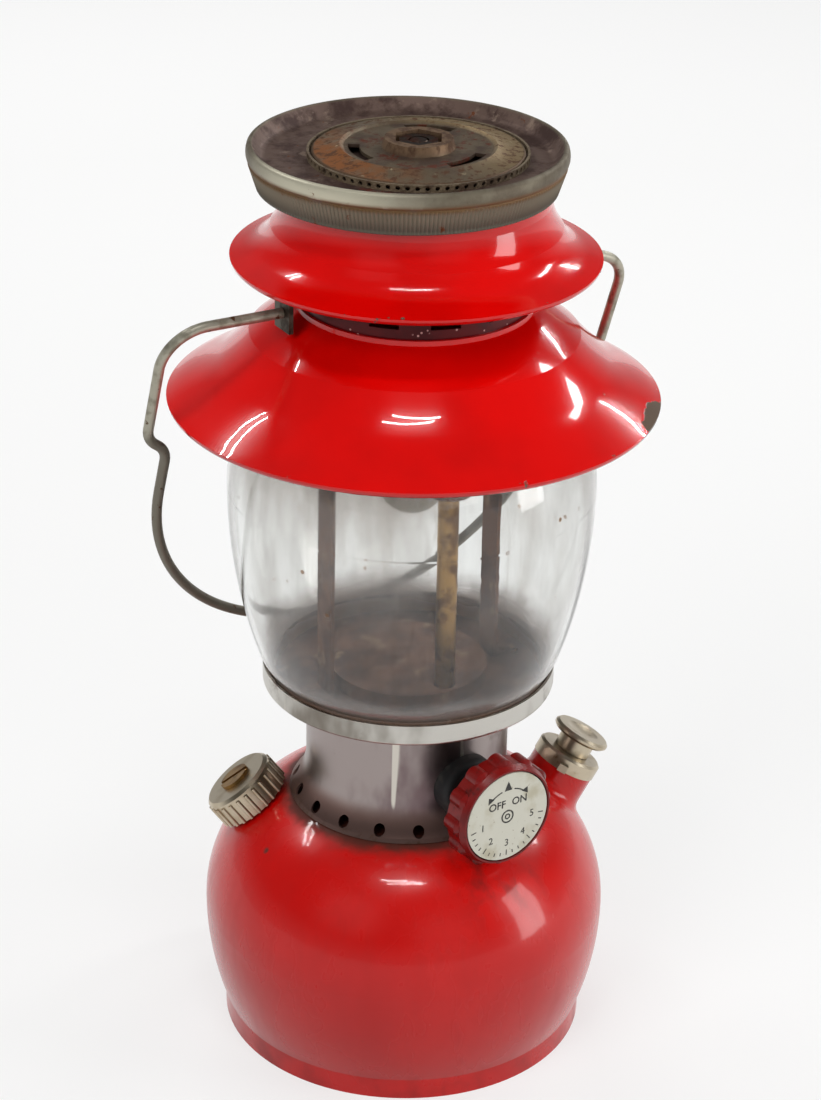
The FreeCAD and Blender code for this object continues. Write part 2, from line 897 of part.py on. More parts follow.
def packing_nut():
    """Hexagon nut that presses the stem's packing."""
    low = valve_offset + valve_column_radius + valve_boss_reach
    high = low + packing_nut_length
    nut = hexagon(packing_nut_flats, low, high).cut(disc(stem_radius + running_clearance, low, high))
    return placed(nut, stem_placement())


def stem_boot():
    """Black dust boot that fills the collar's opening around the stem."""
    outer = collar_radius + boot_proud
    inner = collar_radius - boot_depth
    corner = corner_cut(boot_edge)
    plug = revolved([
        (stem_radius + loose_clearance, inner),
        (boot_radius, inner),
        (boot_radius, outer - boot_edge),
        (boot_radius - boot_edge, outer, boot_radius - corner, outer - corner),
        (stem_radius + loose_clearance, outer),
    ])
    nut_low = valve_offset + valve_column_radius + valve_boss_reach
    boss_room = disc(valve_boss_radius, inner, nut_low)
    nut_room = hexagon(packing_nut_flats, nut_low, nut_low + packing_nut_length)
    return placed(plug.cut(boss_room).cut(nut_room), stem_placement())


def generator_nut():
    """Jam nut that holds the generator in the valve."""
    high = column_top + generator_nut_height
    nut = hexagon(generator_nut_flats, column_top, high).cut(disc(generator_radius, column_top, high))
    return placed(nut, valve_placement(0))


def generator_tube():
    """Brass tube in which the fuel turns to gas."""
    pipe = tube(generator_radius, generator_radius - generator_wall, column_top, generator_top)
    return placed(pipe, valve_placement(0))


def gas_tip():
    """Brass jet on the generator, with a fine bore."""
    high = generator_top + gas_tip_height
    tip = revolved([
        (0, generator_top),
        (generator_radius, generator_top),
        (generator_radius, generator_top + gas_tip_height / 2),
        (gas_tip_nose_radius, high - gas_tip_nose_length),
        (gas_tip_nose_radius, high),
        (0, high),
    ])
    throat = disc(needle_rod_radius + loose_clearance, generator_top, high - gas_tip_face)
    return placed(tip.cut(throat).cut(disc(gas_tip_bore_radius, generator_top, high)), valve_placement(0))


def cleaning_needle():
    """Wire that the valve stem moves up and down to clear the jet."""
    foot_low = stem_height - needle_foot_height / 2
    foot_half = needle_foot_width / 2
    foot = block((-foot_half, -foot_half, foot_low), (foot_half, foot_half, foot_low + needle_foot_height))
    point_top = generator_top + gas_tip_height - loose_clearance
    point_low = point_top - needle_point_length
    rod = disc(needle_rod_radius, foot_low, point_low)
    point = disc(needle_point_radius, point_low, point_top)
    return placed(joined([foot, rod, point]), valve_placement(0))


def valve_stem():
    """Steel stem with an eccentric pin at its inner end."""
    inner = valve_offset + needle_foot_width / 2 + eccentric_pin_length + loose_clearance
    outer = wheel_front() - wheel_face_recess + wheel_nut_height
    rod = disc(stem_radius, inner, outer)
    pin = disc(eccentric_pin_radius, inner - eccentric_pin_length, inner)
    pin = placed(pin, Placement(Vector(eccentric_offset, 0, 0), Rotation()))
    return placed(joined([rod, pin]), stem_placement())


# Valve wheel

def wheel_back():
    """Distance of the wheel's back from the lantern's axis."""
    return collar_radius + boot_proud + wheel_stand_off


def wheel_front():
    """Distance of the wheel's front edge from the lantern's axis."""
    return wheel_back() + wheel_thickness


def valve_wheel():
    """Moulded wheel with a lobed rim and a recessed face."""
    back = wheel_back()
    front = wheel_front()
    rim_radius = wheel_radius - wheel_lobe_depth
    body = revolved([
        (0, back),
        (rim_radius - wheel_edge, back),
        (rim_radius, back + wheel_edge),
        (rim_radius, front - wheel_edge),
        (wheel_face_radius + wheel_face_lip, front),
        (0, front),
    ])
    edge = wheel_lobe_edge
    lobe = revolved([
        (0, back + edge),
        (wheel_lobe_radius - edge, back + edge),
        (wheel_lobe_radius, back + 2 * edge),
        (wheel_lobe_radius, front - 2.5 * edge),
        (wheel_lobe_radius - edge, front - 1.5 * edge),
        (0, front - 1.5 * edge),
    ])
    lobe = placed(lobe, Placement(Vector(wheel_radius - wheel_lobe_radius, 0, 0), Rotation()))
    hub_low = back - wheel_hub_length
    hub = disc(wheel_hub_radius, hub_low, back)
    wheel = joined([body, hub] + around(lobe, wheel_lobe_count))
    recess = disc(wheel_face_radius, front - wheel_face_recess, front)
    return placed(wheel.cut(recess).cut(disc(stem_radius, hub_low, front)), stem_placement())


def wheel_nut():
    """Small nut that holds the wheel on its stem."""
    low = wheel_front() - wheel_face_recess
    high = low + wheel_nut_height
    nut = hexagon(wheel_nut_flats, low, high).cut(disc(stem_radius, low, high))
    return placed(nut, stem_placement())


def wheel_dial():
    """Cream disc set into the wheel's face."""
    low = wheel_front() - wheel_face_recess + wheel_nut_height
    return placed(disc(dial_radius, low, low + dial_thickness), stem_placement())


# Burner

def mixing_path():
    """Centre line of the mixing pipe: up from the bell, over, and down to the burner."""
    bend = mixing_bend_radius
    top = mixing_bend_height
    start = Vector(valve_offset, 0, top - mixing_leg_length)
    up = Vector(valve_offset, 0, top)
    over = Vector(bend, 0, top + bend)
    down = Vector(0, 0, top)
    end = Vector(0, 0, top - burner_leg_length)
    return Part.Wire([
        Part.LineSegment(start, up).toShape(),
        Part.Arc(up, over, down).toShape(),
        Part.LineSegment(down, end).toShape(),
    ])


def pipe_along(path, radius, start, direction):
    """Round rod swept along a path."""
    circle = Part.Wire([Part.makeCircle(radius, start, direction)])
    return path.makePipeShell([circle], True, False)


def mixing_pipe():
    """Bent pipe that draws in air and carries the gas over to the burner."""
    path = mixing_path()
    low = mixing_bend_height - mixing_leg_length
    start = Vector(valve_offset, 0, low)
    up = Vector(0, 0, 1)
    rod = pipe_along(path, mixing_pipe_radius, start, up)
    hollow = pipe_along(path, mixing_pipe_radius - mixing_pipe_wall, start, up)
    bell_low = low - mixing_bell_length
    wall = mixing_pipe_wall
    flare_low = low - mixing_bell_length / 3
    bell = revolved([
        (mixing_pipe_radius - wall, low),
        (mixing_bell_radius - wall, flare_low),
        (mixing_bell_radius - wall, bell_low),
        (mixing_bell_radius, bell_low),
        (mixing_bell_radius, flare_low),
        (mixing_pipe_radius, low),
    ])
    bell = placed(bell, Placement(Vector(valve_offset, 0, 0), Rotation()))
    return turned(joined([rod.cut(hollow), bell]), valve_angle)


def mixing_clip():
    """Saddle that holds the mixing pipe under the frame's top."""
    half = frame_strap_width / 2
    middle = mixing_bend_radius
    saddle_low = mixing_bend_top - mixing_pipe_radius
    high = frame_top - frame_strap_thickness
    saddle = block((middle - half / 2, -half, saddle_low), (middle + half / 2, half, high))
    low = mixing_bend_height - mixing_leg_length
    rod = pipe_along(mixing_path(), mixing_pipe_radius, Vector(valve_offset, 0, low), Vector(0, 0, 1))
    return turned(saddle.cut(rod), valve_angle)


def burner_cap_top():
    """Height of the burner cap's upper end, lapped over the mixing pipe."""
    return mixing_bend_height - burner_leg_length + burner_cap_lap


def burner_cap():
    """Steel burner cap with a groove for the mantle's tie."""
    high = burner_cap_top()
    low = high - burner_cap_height
    groove = low + burner_groove_rise
    groove_high = groove + burner_groove_height
    waist = burner_cap_radius - burner_groove_depth
    inside = mixing_pipe_radius - mixing_pipe_wall
    return revolved([
        (inside, low),
        (burner_cap_radius, low),
        (burner_cap_radius, groove),
        (waist, groove + burner_groove_slope),
        (waist, groove_high),
        (burner_cap_radius, groove_high + burner_groove_slope),
        (burner_cap_radius, high),
        (mixing_pipe_radius, high),
        (mixing_pipe_radius, high - burner_cap_lap),
        (inside, high - burner_cap_lap),
    ])


def burner_gauze():
    """Fine wire disc that evens out the flame."""
    low = burner_cap_top() - burner_cap_height + gauze_rise
    return disc(mixing_pipe_radius - mixing_pipe_wall, low, low + gauze_thickness)


def mantle_body(inset):
    """The mantle's bag, drawn in by an inset from its outside."""
    top = burner_cap_top() - mantle_top_drop
    skirt = top - mantle_skirt
    low = top - mantle_length + inset
    neck = burner_cap_radius + loose_clearance + mantle_wall - inset
    foot = mantle_foot_radius - inset
    return revolved([
        (0, top),
        (neck, top),
        (neck, skirt),
        (foot, low + mantle_foot_rise, mantle_radius - inset, (skirt + low) / 2),
        (0, low, foot / 2, low + arc_bow(foot, mantle_foot_rise)),
    ])


def mantle():
    """Ash mantle tied over the burner cap: a hollow bag, open at its top."""
    return mantle_body(0).cut(mantle_body(mantle_wall))


# Globe

def globe_body(inset):
    """The globe's round body, drawn in by an inset from its outside."""
    foot = globe_foot_radius - inset
    belly = globe_radius - inset
    shoulder = globe_shoulder_radius - inset
    mouth = globe_mouth_radius - inset
    base = bowed_middle((foot, globe_foot_high), (shoulder, globe_base_high), globe_base_bow)
    lower = belly - arc_bow(globe_lower_rise, globe_shoulder_drop)
    upper = belly - arc_bow(globe_upper_rise, belly - mouth)
    return revolved([
        (0, globe_bottom),
        (foot, globe_bottom),
        (foot, globe_foot_high),
        (shoulder, globe_base_high, *base),
        (belly, globe_belly, lower, globe_base_high + globe_lower_rise / 2),
        (mouth, globe_mouth, upper, globe_belly + globe_upper_rise / 2),
        (mouth, globe_top),
        (0, globe_top),
    ])


def globe():
    """Clear glass barrel, open at both ends."""
    return globe_body(0).cut(globe_body(globe_wall))


# Ventilator

def rolled_brim(brim, low):
    """Corners of a brim turned in under itself, from its inner edge round to its widest circle."""
    corner = corner_cut(brim_roll)
    return [
        (brim - 2 * brim_roll, low + enamel_wall),
        (brim - 2 * brim_roll, low),
        (brim - brim_roll, low),
        (brim, low + brim_roll, brim - corner, low + corner),
    ]


def brim_inside(brim, low):
    """Corner that closes the hollow of a turned-in brim."""
    corner = enamel_wall + corner_cut(brim_roll - enamel_wall)
    return (brim - brim_roll, low + enamel_wall, brim - corner, low + corner)


def ventilator_lower():
    """Lower enamelled tier: a rolled brim, a convex skirt and a hollow crown."""
    wall = enamel_wall
    low = lower_brim_height
    brim = (lower_brim_radius, low + brim_roll)
    crease = (lower_crease_radius, lower_crease_height)
    crown = (neck_radius + wall, lower_crown_height)
    inner_brim = (lower_brim_radius - wall, low + brim_roll)
    inner_crease = (lower_crease_radius - wall / 2, lower_crease_height - wall)
    inner_crown = (neck_radius, lower_crown_height - wall)
    return revolved(rolled_brim(lower_brim_radius, low) + [
        (*crease, *bowed_middle(brim, crease, -lower_skirt_bow)),
        (*crown, *bowed_middle(crease, crown, lower_crown_hollow)),
        (crown[0], lower_crown_height + lower_crown_lip),
        (neck_radius, lower_crown_height + lower_crown_lip),
        inner_crown,
        (*inner_crease, *bowed_middle(inner_crease, inner_crown, lower_crown_hollow)),
        (*inner_brim, *bowed_middle(inner_brim, inner_crease, -lower_skirt_bow)),
        brim_inside(lower_brim_radius, low),
    ])


def neck_slot():
    """One upright cutter through the neck's wall, from height 0."""
    half = neck_slot_width / 2
    return block((neck_radius - 4 * neck_wall, -half, 0), (neck_radius + neck_wall, half, neck_slot_height))


def ventilator_neck():
    """Slotted tube between the two tiers."""
    low = lower_crown_height - enamel_wall
    tube_body = tube(neck_radius, neck_radius - neck_wall, low, neck_top)
    lower_row = lower_crown_height + neck_slot_rise
    upper_row = upper_crease_height
    first = 180.0 / neck_slot_count
    for height in (lower_row, upper_row):
        slot = placed(neck_slot(), Placement(Vector(0, 0, height), Rotation()))
        for copy in around(slot, neck_slot_count, first):
            tube_body = tube_body.cut(copy)
    return tube_body


def ventilator_upper():
    """Upper enamelled tier with a closed top."""
    wall = enamel_wall
    low = upper_brim_height
    brim = (upper_brim_radius, low + brim_roll)
    crease = (upper_crease_radius, upper_crease_height)
    crown = (upper_crown_radius, upper_crown_height)
    inner_brim = (upper_brim_radius - wall, low + brim_roll)
    inner_crease = (upper_crease_radius - wall, upper_crease_height - wall / 2)
    inner_crown = (upper_crown_radius - wall, upper_crown_height)
    hole = stud_radius + loose_clearance
    return revolved(rolled_brim(upper_brim_radius, low) + [
        (*crease, *bowed_middle(brim, crease, -upper_skirt_bow)),
        (*crown, *bowed_middle(crease, crown, -upper_crown_bow)),
        (upper_crown_radius, upper_top),
        (hole, upper_top),
        (hole, neck_top),
        (upper_crown_radius - wall, neck_top),
        inner_crown,
        (*inner_crease, *bowed_middle(inner_crease, inner_crown, -upper_crown_bow)),
        (*inner_brim, *bowed_middle(inner_brim, inner_crease, -upper_skirt_bow)),
        brim_inside(upper_brim_radius, low),
    ])


def ventilator_spider():
    """Spoked plate inside the neck that centres the ventilator on the stud."""
    low = lower_crown_height + spider_height
    high = low + spider_wall
    inside = neck_radius - neck_wall
    rim = tube(inside, inside - spider_rim_width, low, high)
    hub = disc(spider_hub_radius, low, high)
    half = spider_spoke_width / 2
    spoke = block((0, -half, low), (inside - spider_rim_width / 2, half, high))
    spider = joined([rim, hub] + around(spoke, spider_spoke_count, 180.0 / spider_spoke_count))
    return spider.cut(disc(stud_radius + running_clearance, low, high))


def globe_retainer():
    """Pressed ring inside the lower tier that steadies the globe's mouth."""
    wall = retainer_wall
    lip = globe_mouth_radius + loose_clearance
    outer = lip + retainer_reach
    low = globe_mouth + loose_clearance
    high = globe_top + loose_clearance
    return revolved([
        (lip, low),
        (lip + wall, low),
        (lip + wall, high),
        (outer, high),
        (outer, high + wall),
        (globe_mouth_radius - globe_wall, high + wall),
        (globe_mouth_radius - globe_wall, high),
        (lip, high),
    ])


def retainer_posts():
    """Short spacers that weld the retainer to the underside of the lower tier."""
    low = globe_top + loose_clearance + retainer_wall
    centre = Vector(globe_mouth_radius + retainer_post_offset, 0, low)
    post = Part.makeCylinder(retainer_post_radius, lower_crown_height - low, centre)
    under_tier = min(post.cut(ventilator_lower()).Solids, key=lambda solid: solid.CenterOfMass.z)
    return Part.makeCompound(around(under_tier, retainer_post_count, 180.0 / retainer_post_count))


# Bail

def bail_ear(side):
    """Steel bracket on the neck with a hole for the bail's end."""
    half = ear_width / 2
    low = bail_height - ear_height / 2
    high = bail_height + ear_height / 2
    near = ear_reach - ear_thickness
    tab = block((near, -half, low), (ear_reach, half, high))
    arm = block((neck_radius / 2, -half, high - ear_thickness), (ear_reach, half, high))
    hole_radius = bail_wire_radius + running_clearance
    hole = Part.makeCylinder(hole_radius, ear_reach, Vector(0, 0, bail_height), Vector(1, 0, 0))
    ear = joined([tab, arm]).cut(disc(neck_radius, low, high)).cut(hole)
    if side < 0:
        return turned(ear, 180)
    return ear


def bail_rest_angle():
    """Backward tilt, in degrees, at which the hanging bail leans on the globe seat's ring."""
    return math.degrees(math.atan2(bail_rest_radius, bail_rest_drop))


def bail_half_path():
    """Edges of half the bail, from its end at +X to the middle of its arch,
    hanging straight down from the pivot."""
    turn = math.acos(1 - bail_jog / (2 * bail_jog_radius))
    jog_length = 2 * bail_jog_radius * math.sin(turn)
    bend = bail_bend_radius
    corner = corner_cut(bend)
    leg_end = bend + bail_leg_length
    waist_start = leg_end + jog_length

    def point(across, down):
        return Vector(across, 0, bail_height - down)

    half_turn = turn / 2
    mid_across = bail_jog_radius * (1 - math.cos(half_turn))
    mid_down = bail_jog_radius * math.sin(half_turn)
    half_across = bail_jog / 2
    half_down = jog_length / 2
    wide = bail_half_width
    waist = bail_waist_half_width
    centre = bail_arch_start
    diagonal = waist * math.sqrt(0.5)
    return [
        Part.LineSegment(point(bail_end_inset, 0), point(wide - bend, 0)).toShape(),
        Part.Arc(point(wide - bend, 0), point(wide - corner, corner), point(wide, bend)).toShape(),
        Part.LineSegment(point(wide, bend), point(wide, leg_end)).toShape(),
        Part.Arc(
            point(wide, leg_end),
            point(wide - mid_across, leg_end + mid_down),
            point(wide - half_across, leg_end + half_down),
        ).toShape(),
        Part.Arc(
            point(wide - half_across, leg_end + half_down),
            point(waist + mid_across, waist_start - mid_down),
            point(waist, waist_start),
        ).toShape(),
        Part.LineSegment(point(waist, waist_start), point(waist, centre)).toShape(),
        Part.Arc(point(waist, centre), point(diagonal, centre + diagonal), point(0, bail_reach)).toShape(),
    ]


def bail():
    """Wire handle, hanging back against the globe seat and pushed over to its left ear."""
    path = Part.Wire(bail_half_path())
    rod = pipe_along(path, bail_wire_radius, Vector(bail_end_inset, 0, bail_height), Vector(1, 0, 0))
    wire = joined([rod, rod.mirror(Vector(0, 0, 0), Vector(1, 0, 0))])
    pivot = Vector(0, 0, bail_height)
    tilt = Rotation(Vector(1, 0, 0), bail_rest_angle())
    slide = Vector(-bail_side_play, 0, 0)
    return placed(wire, Placement(pivot - tilt.multVec(pivot) + slide, tilt))


# Hot plate and cap

def plate_moved(shape):
    """A copy shifted to where the plate sits, with its hole's edge against its collar."""
    angle = math.radians(plate_shift_angle)
    shift = Vector(plate_shift * math.cos(angle), plate_shift * math.sin(angle), 0)
    return placed(shape, Placement(shift, Rotation()))


def hot_plate():
    """Steel plate with a deep rim, resting on the upper tier."""
    band = plate_band_wall
    low = plate_bottom
    high = low + plate_band_height
    floor_low = upper_top
    floor_high = plate_floor_top
    floor_edge = plate_foot_radius - band
    shoulder = (plate_radius, high - plate_shoulder)
    rim = (plate_radius - plate_edge, high)
    plate = revolved([
        (floor_edge, low),
        (plate_foot_radius, low),
        shoulder,
        (*rim, *bowed_middle(shoulder, rim, -plate_shoulder_bow)),
        (plate_radius - plate_edge - band / 2, high),
        (floor_edge, floor_high),
        (0, floor_high),
        (0, floor_low),
        (floor_edge, floor_low),
    ])
    return plate_moved(plate).cut(disc(plate_hole_radius, floor_low, floor_high))


def plate_collar():
    """Spacer in the plate's hole, between the upper tier and the cap's hub."""
    return tube(plate_collar_radius, stud_radius + loose_clearance, upper_top, cap_bottom)


def cap_screen():
    """Perforated ring round the cap's foot."""
    ring = tube(screen_radius, screen_radius - screen_wall, plate_floor_top, plate_floor_top + screen_height)
    start = Vector(screen_radius - 2 * screen_wall, 0, plate_floor_top + screen_height / 2)
    hole = Part.makeCylinder(screen_hole_radius, 3 * screen_wall, start, Vector(1, 0, 0))
    return ring.cut(around(hole, screen_hole_count))


def cap_slot():
    """One curved slot in the cap, as a cutter."""
    half = cap_slot_width / 2
    ring = tube(cap_slot_radius + half, cap_slot_radius - half, cap_bottom, cap_top)
    reach = 2 * cap_radius
    half_angle = math.radians(cap_slot_angle / 2)
    centre = Vector(0, 0, cap_bottom)
    edge = Vector(reach * math.cos(half_angle), reach * math.sin(half_angle), cap_bottom)
    other = Vector(edge.x, -edge.y, edge.z)
    wedge = Part.Face(Part.makePolygon([centre, other, edge, centre]))
    return ring.common(wedge.extrude(Vector(0, 0, cap_wall)))


def cap_body():
    """Round steel cap with a drooping band, three curved slots and a hub with a hexagon socket."""
    edge_top = cap_edge_low + cap_wall
    edge = (cap_radius - cap_edge, edge_top)
    crest = (cap_recess_radius + cap_recess_slope, cap_top)
    plate = revolved([
        (0, cap_bottom),
        (cap_recess_radius, cap_bottom),
        (cap_radius - cap_edge, cap_edge_low),
        (cap_radius, cap_edge_low + cap_edge),
        (cap_radius, edge_top - cap_edge),
        edge,
        (*crest, *bowed_middle(edge, crest, -cap_band_bow)),
        (cap_recess_radius, socket_floor),
        (0, socket_floor),
    ])
    for slot in around(cap_slot(), cap_slot_count, cap_slot_first_angle):
        plate = plate.cut(slot)
    hub = revolved([
        (0, socket_floor),
        (hub_radius, socket_floor),
        (hub_radius - hub_edge, socket_floor + hub_rise),
        (0, socket_floor + hub_rise),
    ])
    socket = hexagon(hub_socket_flats, socket_floor, socket_floor + hub_rise)
    cap = joined([plate, hub.cut(socket)])
    return cap.cut(disc(stud_radius + loose_clearance, cap_bottom, cap_top))


def top_washer():
    """Flat washer in the hub's socket."""
    bore = stud_radius + running_clearance
    return tube(washer_radius, bore, socket_floor, socket_floor + washer_thickness)


def top_nut():
    """Thin hexagon nut that clamps the whole top down."""
    low = socket_floor + washer_thickness
    high = low + nut_height
    nut = hexagon(nut_flats, low, high)
    corner = nut_flats / math.sqrt(3)
    crown = revolved([
        (0, low),
        (corner, low),
        (corner, high - nut_edge),
        (nut_flats / 2, high),
        (0, high),
    ])
    return nut.common(crown).cut(disc(stud_radius + running_clearance, low, high))


def all_nodes():
    """Every piece by name."""
    return {
        "fount_shell": fount_shell(),
        "base_pan": base_pan(),
        "filler_neck": filler_neck(),
        "filler_gasket": filler_gasket(),
        "filler_insert": filler_insert(),
        "filler_cap": filler_cap(),
        "filler_screw": filler_screw(),
        "pump_tube": pump_tube(),
        "pump_cap": pump_cap(),
        "pump_knob": pump_knob(),
        "pump_leather": pump_leather(),
        "leather_washers": leather_washers(),
        "check_valve": check_valve(),
        "check_ball": check_ball(),
        "air_stem": air_stem(),
        "collar": collar(),
        "globe_seat": globe_seat(),
        "floor_plate": floor_plate(),
        "frame": frame(),
        "frame_rivets": frame_rivets(),
        "frame_stud": frame_stud(),
        "valve_bushing": valve_bushing(),
        "fuel_pipe": fuel_pipe(),
        "valve_body": valve_body(),
        "packing_nut": packing_nut(),
        "stem_boot": stem_boot(),
        "generator_nut": generator_nut(),
        "generator_tube": generator_tube(),
        "gas_tip": gas_tip(),
        "cleaning_needle": cleaning_needle(),
        "valve_stem": valve_stem(),
        "valve_wheel": valve_wheel(),
        "wheel_nut": wheel_nut(),
        "wheel_dial": wheel_dial(),
        "mixing_pipe": mixing_pipe(),
        "mixing_clip": mixing_clip(),
        "burner_cap": burner_cap(),
        "burner_gauze": burner_gauze(),
        "mantle": mantle(),
        "globe": globe(),
        "ventilator_lower": ventilator_lower(),
        "ventilator_neck": ventilator_neck(),
        "ventilator_upper": ventilator_upper(),
        "ventilator_spider": ventilator_spider(),
        "globe_retainer": globe_retainer(),
        "retainer_posts": retainer_posts(),
        "bail_ear_left": bail_ear(-1),
        "bail_ear_right": bail_ear(1),
        "bail": bail(),
        "hot_plate": hot_plate(),
        "plate_collar": plate_collar(),
        "cap_screen": cap_screen(),
        "cap_body": cap_body(),
        "top_washer": top_washer(),
        "top_nut": top_nut(),
    }


os.makedirs("parts", exist_ok=True)
for name, shape in all_nodes().items():
    shape.exportStep(os.path.join("parts", name + ".step"))
print("bail rest angle", round(bail_rest_angle(), 2))
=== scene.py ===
"""A gas lantern's finish and fine forms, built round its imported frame.
Metres, +Z up, the valve wheel towards -Y. Angles are stated in degrees."""
import bmesh
import bpy
import math
from mathutils import Matrix, Vector


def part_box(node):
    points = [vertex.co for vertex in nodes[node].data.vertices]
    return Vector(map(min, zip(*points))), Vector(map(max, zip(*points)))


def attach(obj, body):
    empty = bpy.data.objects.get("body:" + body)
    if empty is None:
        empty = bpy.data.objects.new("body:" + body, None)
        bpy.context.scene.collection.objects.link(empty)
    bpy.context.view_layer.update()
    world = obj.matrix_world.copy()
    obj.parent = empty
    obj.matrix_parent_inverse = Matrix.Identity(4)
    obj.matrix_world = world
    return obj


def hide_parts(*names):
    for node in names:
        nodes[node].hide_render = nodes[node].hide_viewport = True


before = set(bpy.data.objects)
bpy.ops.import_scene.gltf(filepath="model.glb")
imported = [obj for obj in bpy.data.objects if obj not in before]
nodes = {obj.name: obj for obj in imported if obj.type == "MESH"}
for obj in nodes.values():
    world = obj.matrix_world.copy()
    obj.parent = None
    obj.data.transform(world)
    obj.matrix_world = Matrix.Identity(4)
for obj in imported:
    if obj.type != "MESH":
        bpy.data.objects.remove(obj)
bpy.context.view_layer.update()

# Fount: a drawn steel tank, sprayed semi-gloss red. The paint runs up the pump's short neck,
# and soot and spilt fuel have stained it brown round the collar's foot and under the wheel.


def paint(red, green, blue):
    """A shader colour from the 0 to 255 levels that it shows on a screen."""
    levels = [level / 255 for level in (red, green, blue)]
    return *(v / 12.92 if v <= 0.04045 else ((v + 0.055) / 1.055) ** 2.4 for v in levels), 1.0


def put(tree, socket, value):
    """Sets a plain value in a node's socket, or links it to another node's output."""
    if isinstance(value, bpy.types.NodeSocket):
        tree.links.new(value, socket)
    else:
        socket.default_value = value


def add_node(tree, kind, inputs=None, **settings):
    """A new node. Its inputs take a plain value or another node's output."""
    made = tree.nodes.new(kind)
    for name, value in settings.items():
        setattr(made, name, value)
    for key, value in (inputs or {}).items():
        put(tree, made.inputs[key], value)
    return made


class Finish:
    """A surface finish: one shader, with layers of colour, roughness and relief over it."""

    def __init__(self, name, colour, roughness, **sockets):
        self.material = bpy.data.materials.new(name)
        self.material.use_nodes = True
        self.tree = self.material.node_tree
        self.shader = self.tree.nodes["Principled BSDF"]
        for socket, value in sockets.items():
            self.fill(socket.replace("_", " ").title().replace("Ior", "IOR"), value)
        self.place = self.add("ShaderNodeTexCoord").outputs["Object"]
        self.colour = colour
        self.roughness = roughness
        self.relief = None

    def add(self, kind, inputs=None, **settings):
        """A new node of this finish."""
        return add_node(self.tree, kind, inputs, **settings)

    def fill(self, socket, value):
        """Sets or links one of the shader's sockets, by its name."""
        put(self.tree, self.shader.inputs[socket], value)

    def sum(self, operation, first, second):
        """One arithmetic step on two values."""
        return self.add("ShaderNodeMath", {0: first, 1: second}, operation=operation).outputs[0]

    def stretched(self, stretch=(1, 1, 1), centre=(0, 0, 0), turn=(0, 0, 0)):
        """Object coordinates seen from a centre, turned and stretched."""
        moved = self.add("ShaderNodeVectorMath", {0: self.place, 1: centre}, operation="SUBTRACT")
        turned = [math.radians(angle) for angle in turn]
        place = {"Vector": moved.outputs[0], "Rotation": turned, "Scale": stretch}
        return self.add("ShaderNodeMapping", place).outputs[0]

    def noise(self, size, detail=3.0, place=None, jagged=0.55):
        """Soft clouds of about that size in metres, as a factor round 0.5."""
        inputs = {"Vector": place or self.place, "Scale": 1 / size, "Detail": detail, "Roughness": jagged}
        return self.add("ShaderNodeTexNoise", inputs).outputs["Fac"]

    def dots(self, size):
        """Distance to the nearest of scattered points, about that far apart."""
        inputs = {"Vector": self.place, "Scale": 1 / size}
        return self.add("ShaderNodeTexVoronoi", inputs).outputs["Distance"]

    def step(self, value, low, high):
        """0 below low, 1 above high, and smooth between; the other way round if high is lower."""
        inputs = {"Value": value, "From Min": low, "From Max": high}
        return self.add("ShaderNodeMapRange", inputs, interpolation_type="SMOOTHSTEP").outputs[0]

    def axis(self, name):
        """One of the X, Y and Z coordinates, in metres."""
        return self.add("ShaderNodeSeparateXYZ", {0: self.place}).outputs[name]

    def distance(self, centre, stretch=(1, 1, 1)):
        """Distance from a point, with some directions counted longer or shorter."""
        place = self.stretched(stretch, centre)
        return self.add("ShaderNodeVectorMath", {0: place}, operation="LENGTH").outputs["Value"]

    def radius(self, centre=(0, 0, 0)):
        """Distance from an upright axis."""
        return self.distance(centre, (1, 1, 0))

    def both(self, first, second):
        """A mask where two masks meet."""
        return self.sum("MULTIPLY", first, second)

    def either(self, first, second):
        """A mask where one of two masks is."""
        return self.sum("MAXIMUM", first, second)

    # The Mix node's inputs: 0 is the factor, 2 and 3 are two numbers, and 6 and 7 are two colours.

    def mix(self, mask, low, high):
        """A mix of two numbers by a mask."""
        return self.add("ShaderNodeMix", {0: mask, 2: low, 3: high}).outputs[0]

    def layer(self, mask, colour=None, roughness=None):
        """Lays a colour or a roughness over what is there, where the mask is."""
        if colour is not None:
            inputs = {0: mask, 6: self.colour, 7: colour}
            self.colour = self.add("ShaderNodeMix", inputs, data_type="RGBA").outputs[2]
        if roughness is not None:
            self.roughness = self.mix(mask, self.roughness, roughness)

    def turned_grain(self, amount):
        """Spreads reflections along an upright axis, as fine lines turned round it do."""
        tangent = self.add("ShaderNodeTangent", direction_type="RADIAL", axis="Z")
        self.fill("Anisotropic", amount)
        self.fill("Tangent", tangent.outputs[0])

    def raise_by(self, height, depth):
        """Relief in metres: the height factor times the depth."""
        inputs = {"Height": height, "Distance": depth, "Strength": 1.0}
        if self.relief:
            inputs["Normal"] = self.relief
        self.relief = self.add("ShaderNodeBump", inputs).outputs[0]

    def done(self):
        """The finished material."""
        self.fill("Base Color", self.colour)
        self.fill("Roughness", self.roughness)
        if self.relief:
            self.fill("Normal", self.relief)
            self.fill("Coat Normal", self.relief)
        return self.material


def coat(material, *names):
    """Gives nodes of the frame a finish."""
    for name in names:
        nodes[name].material_slots[0].material = material


fount_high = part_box("fount_shell")[1]
collar_low, collar_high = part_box("collar")
collar_foot_radius = collar_high.x
soot_reach = 0.006
soot_solid = 0.0005
soot_ragged = 0.004
dome_from = fount_high.z - 0.010
dome_at = fount_high.z - 0.004
spill_middle = (0.004, -0.046, 0.072)
spill_reach = 0.022
spill_solid = 0.008
foot_height = 0.012
foot_solid = 0.002


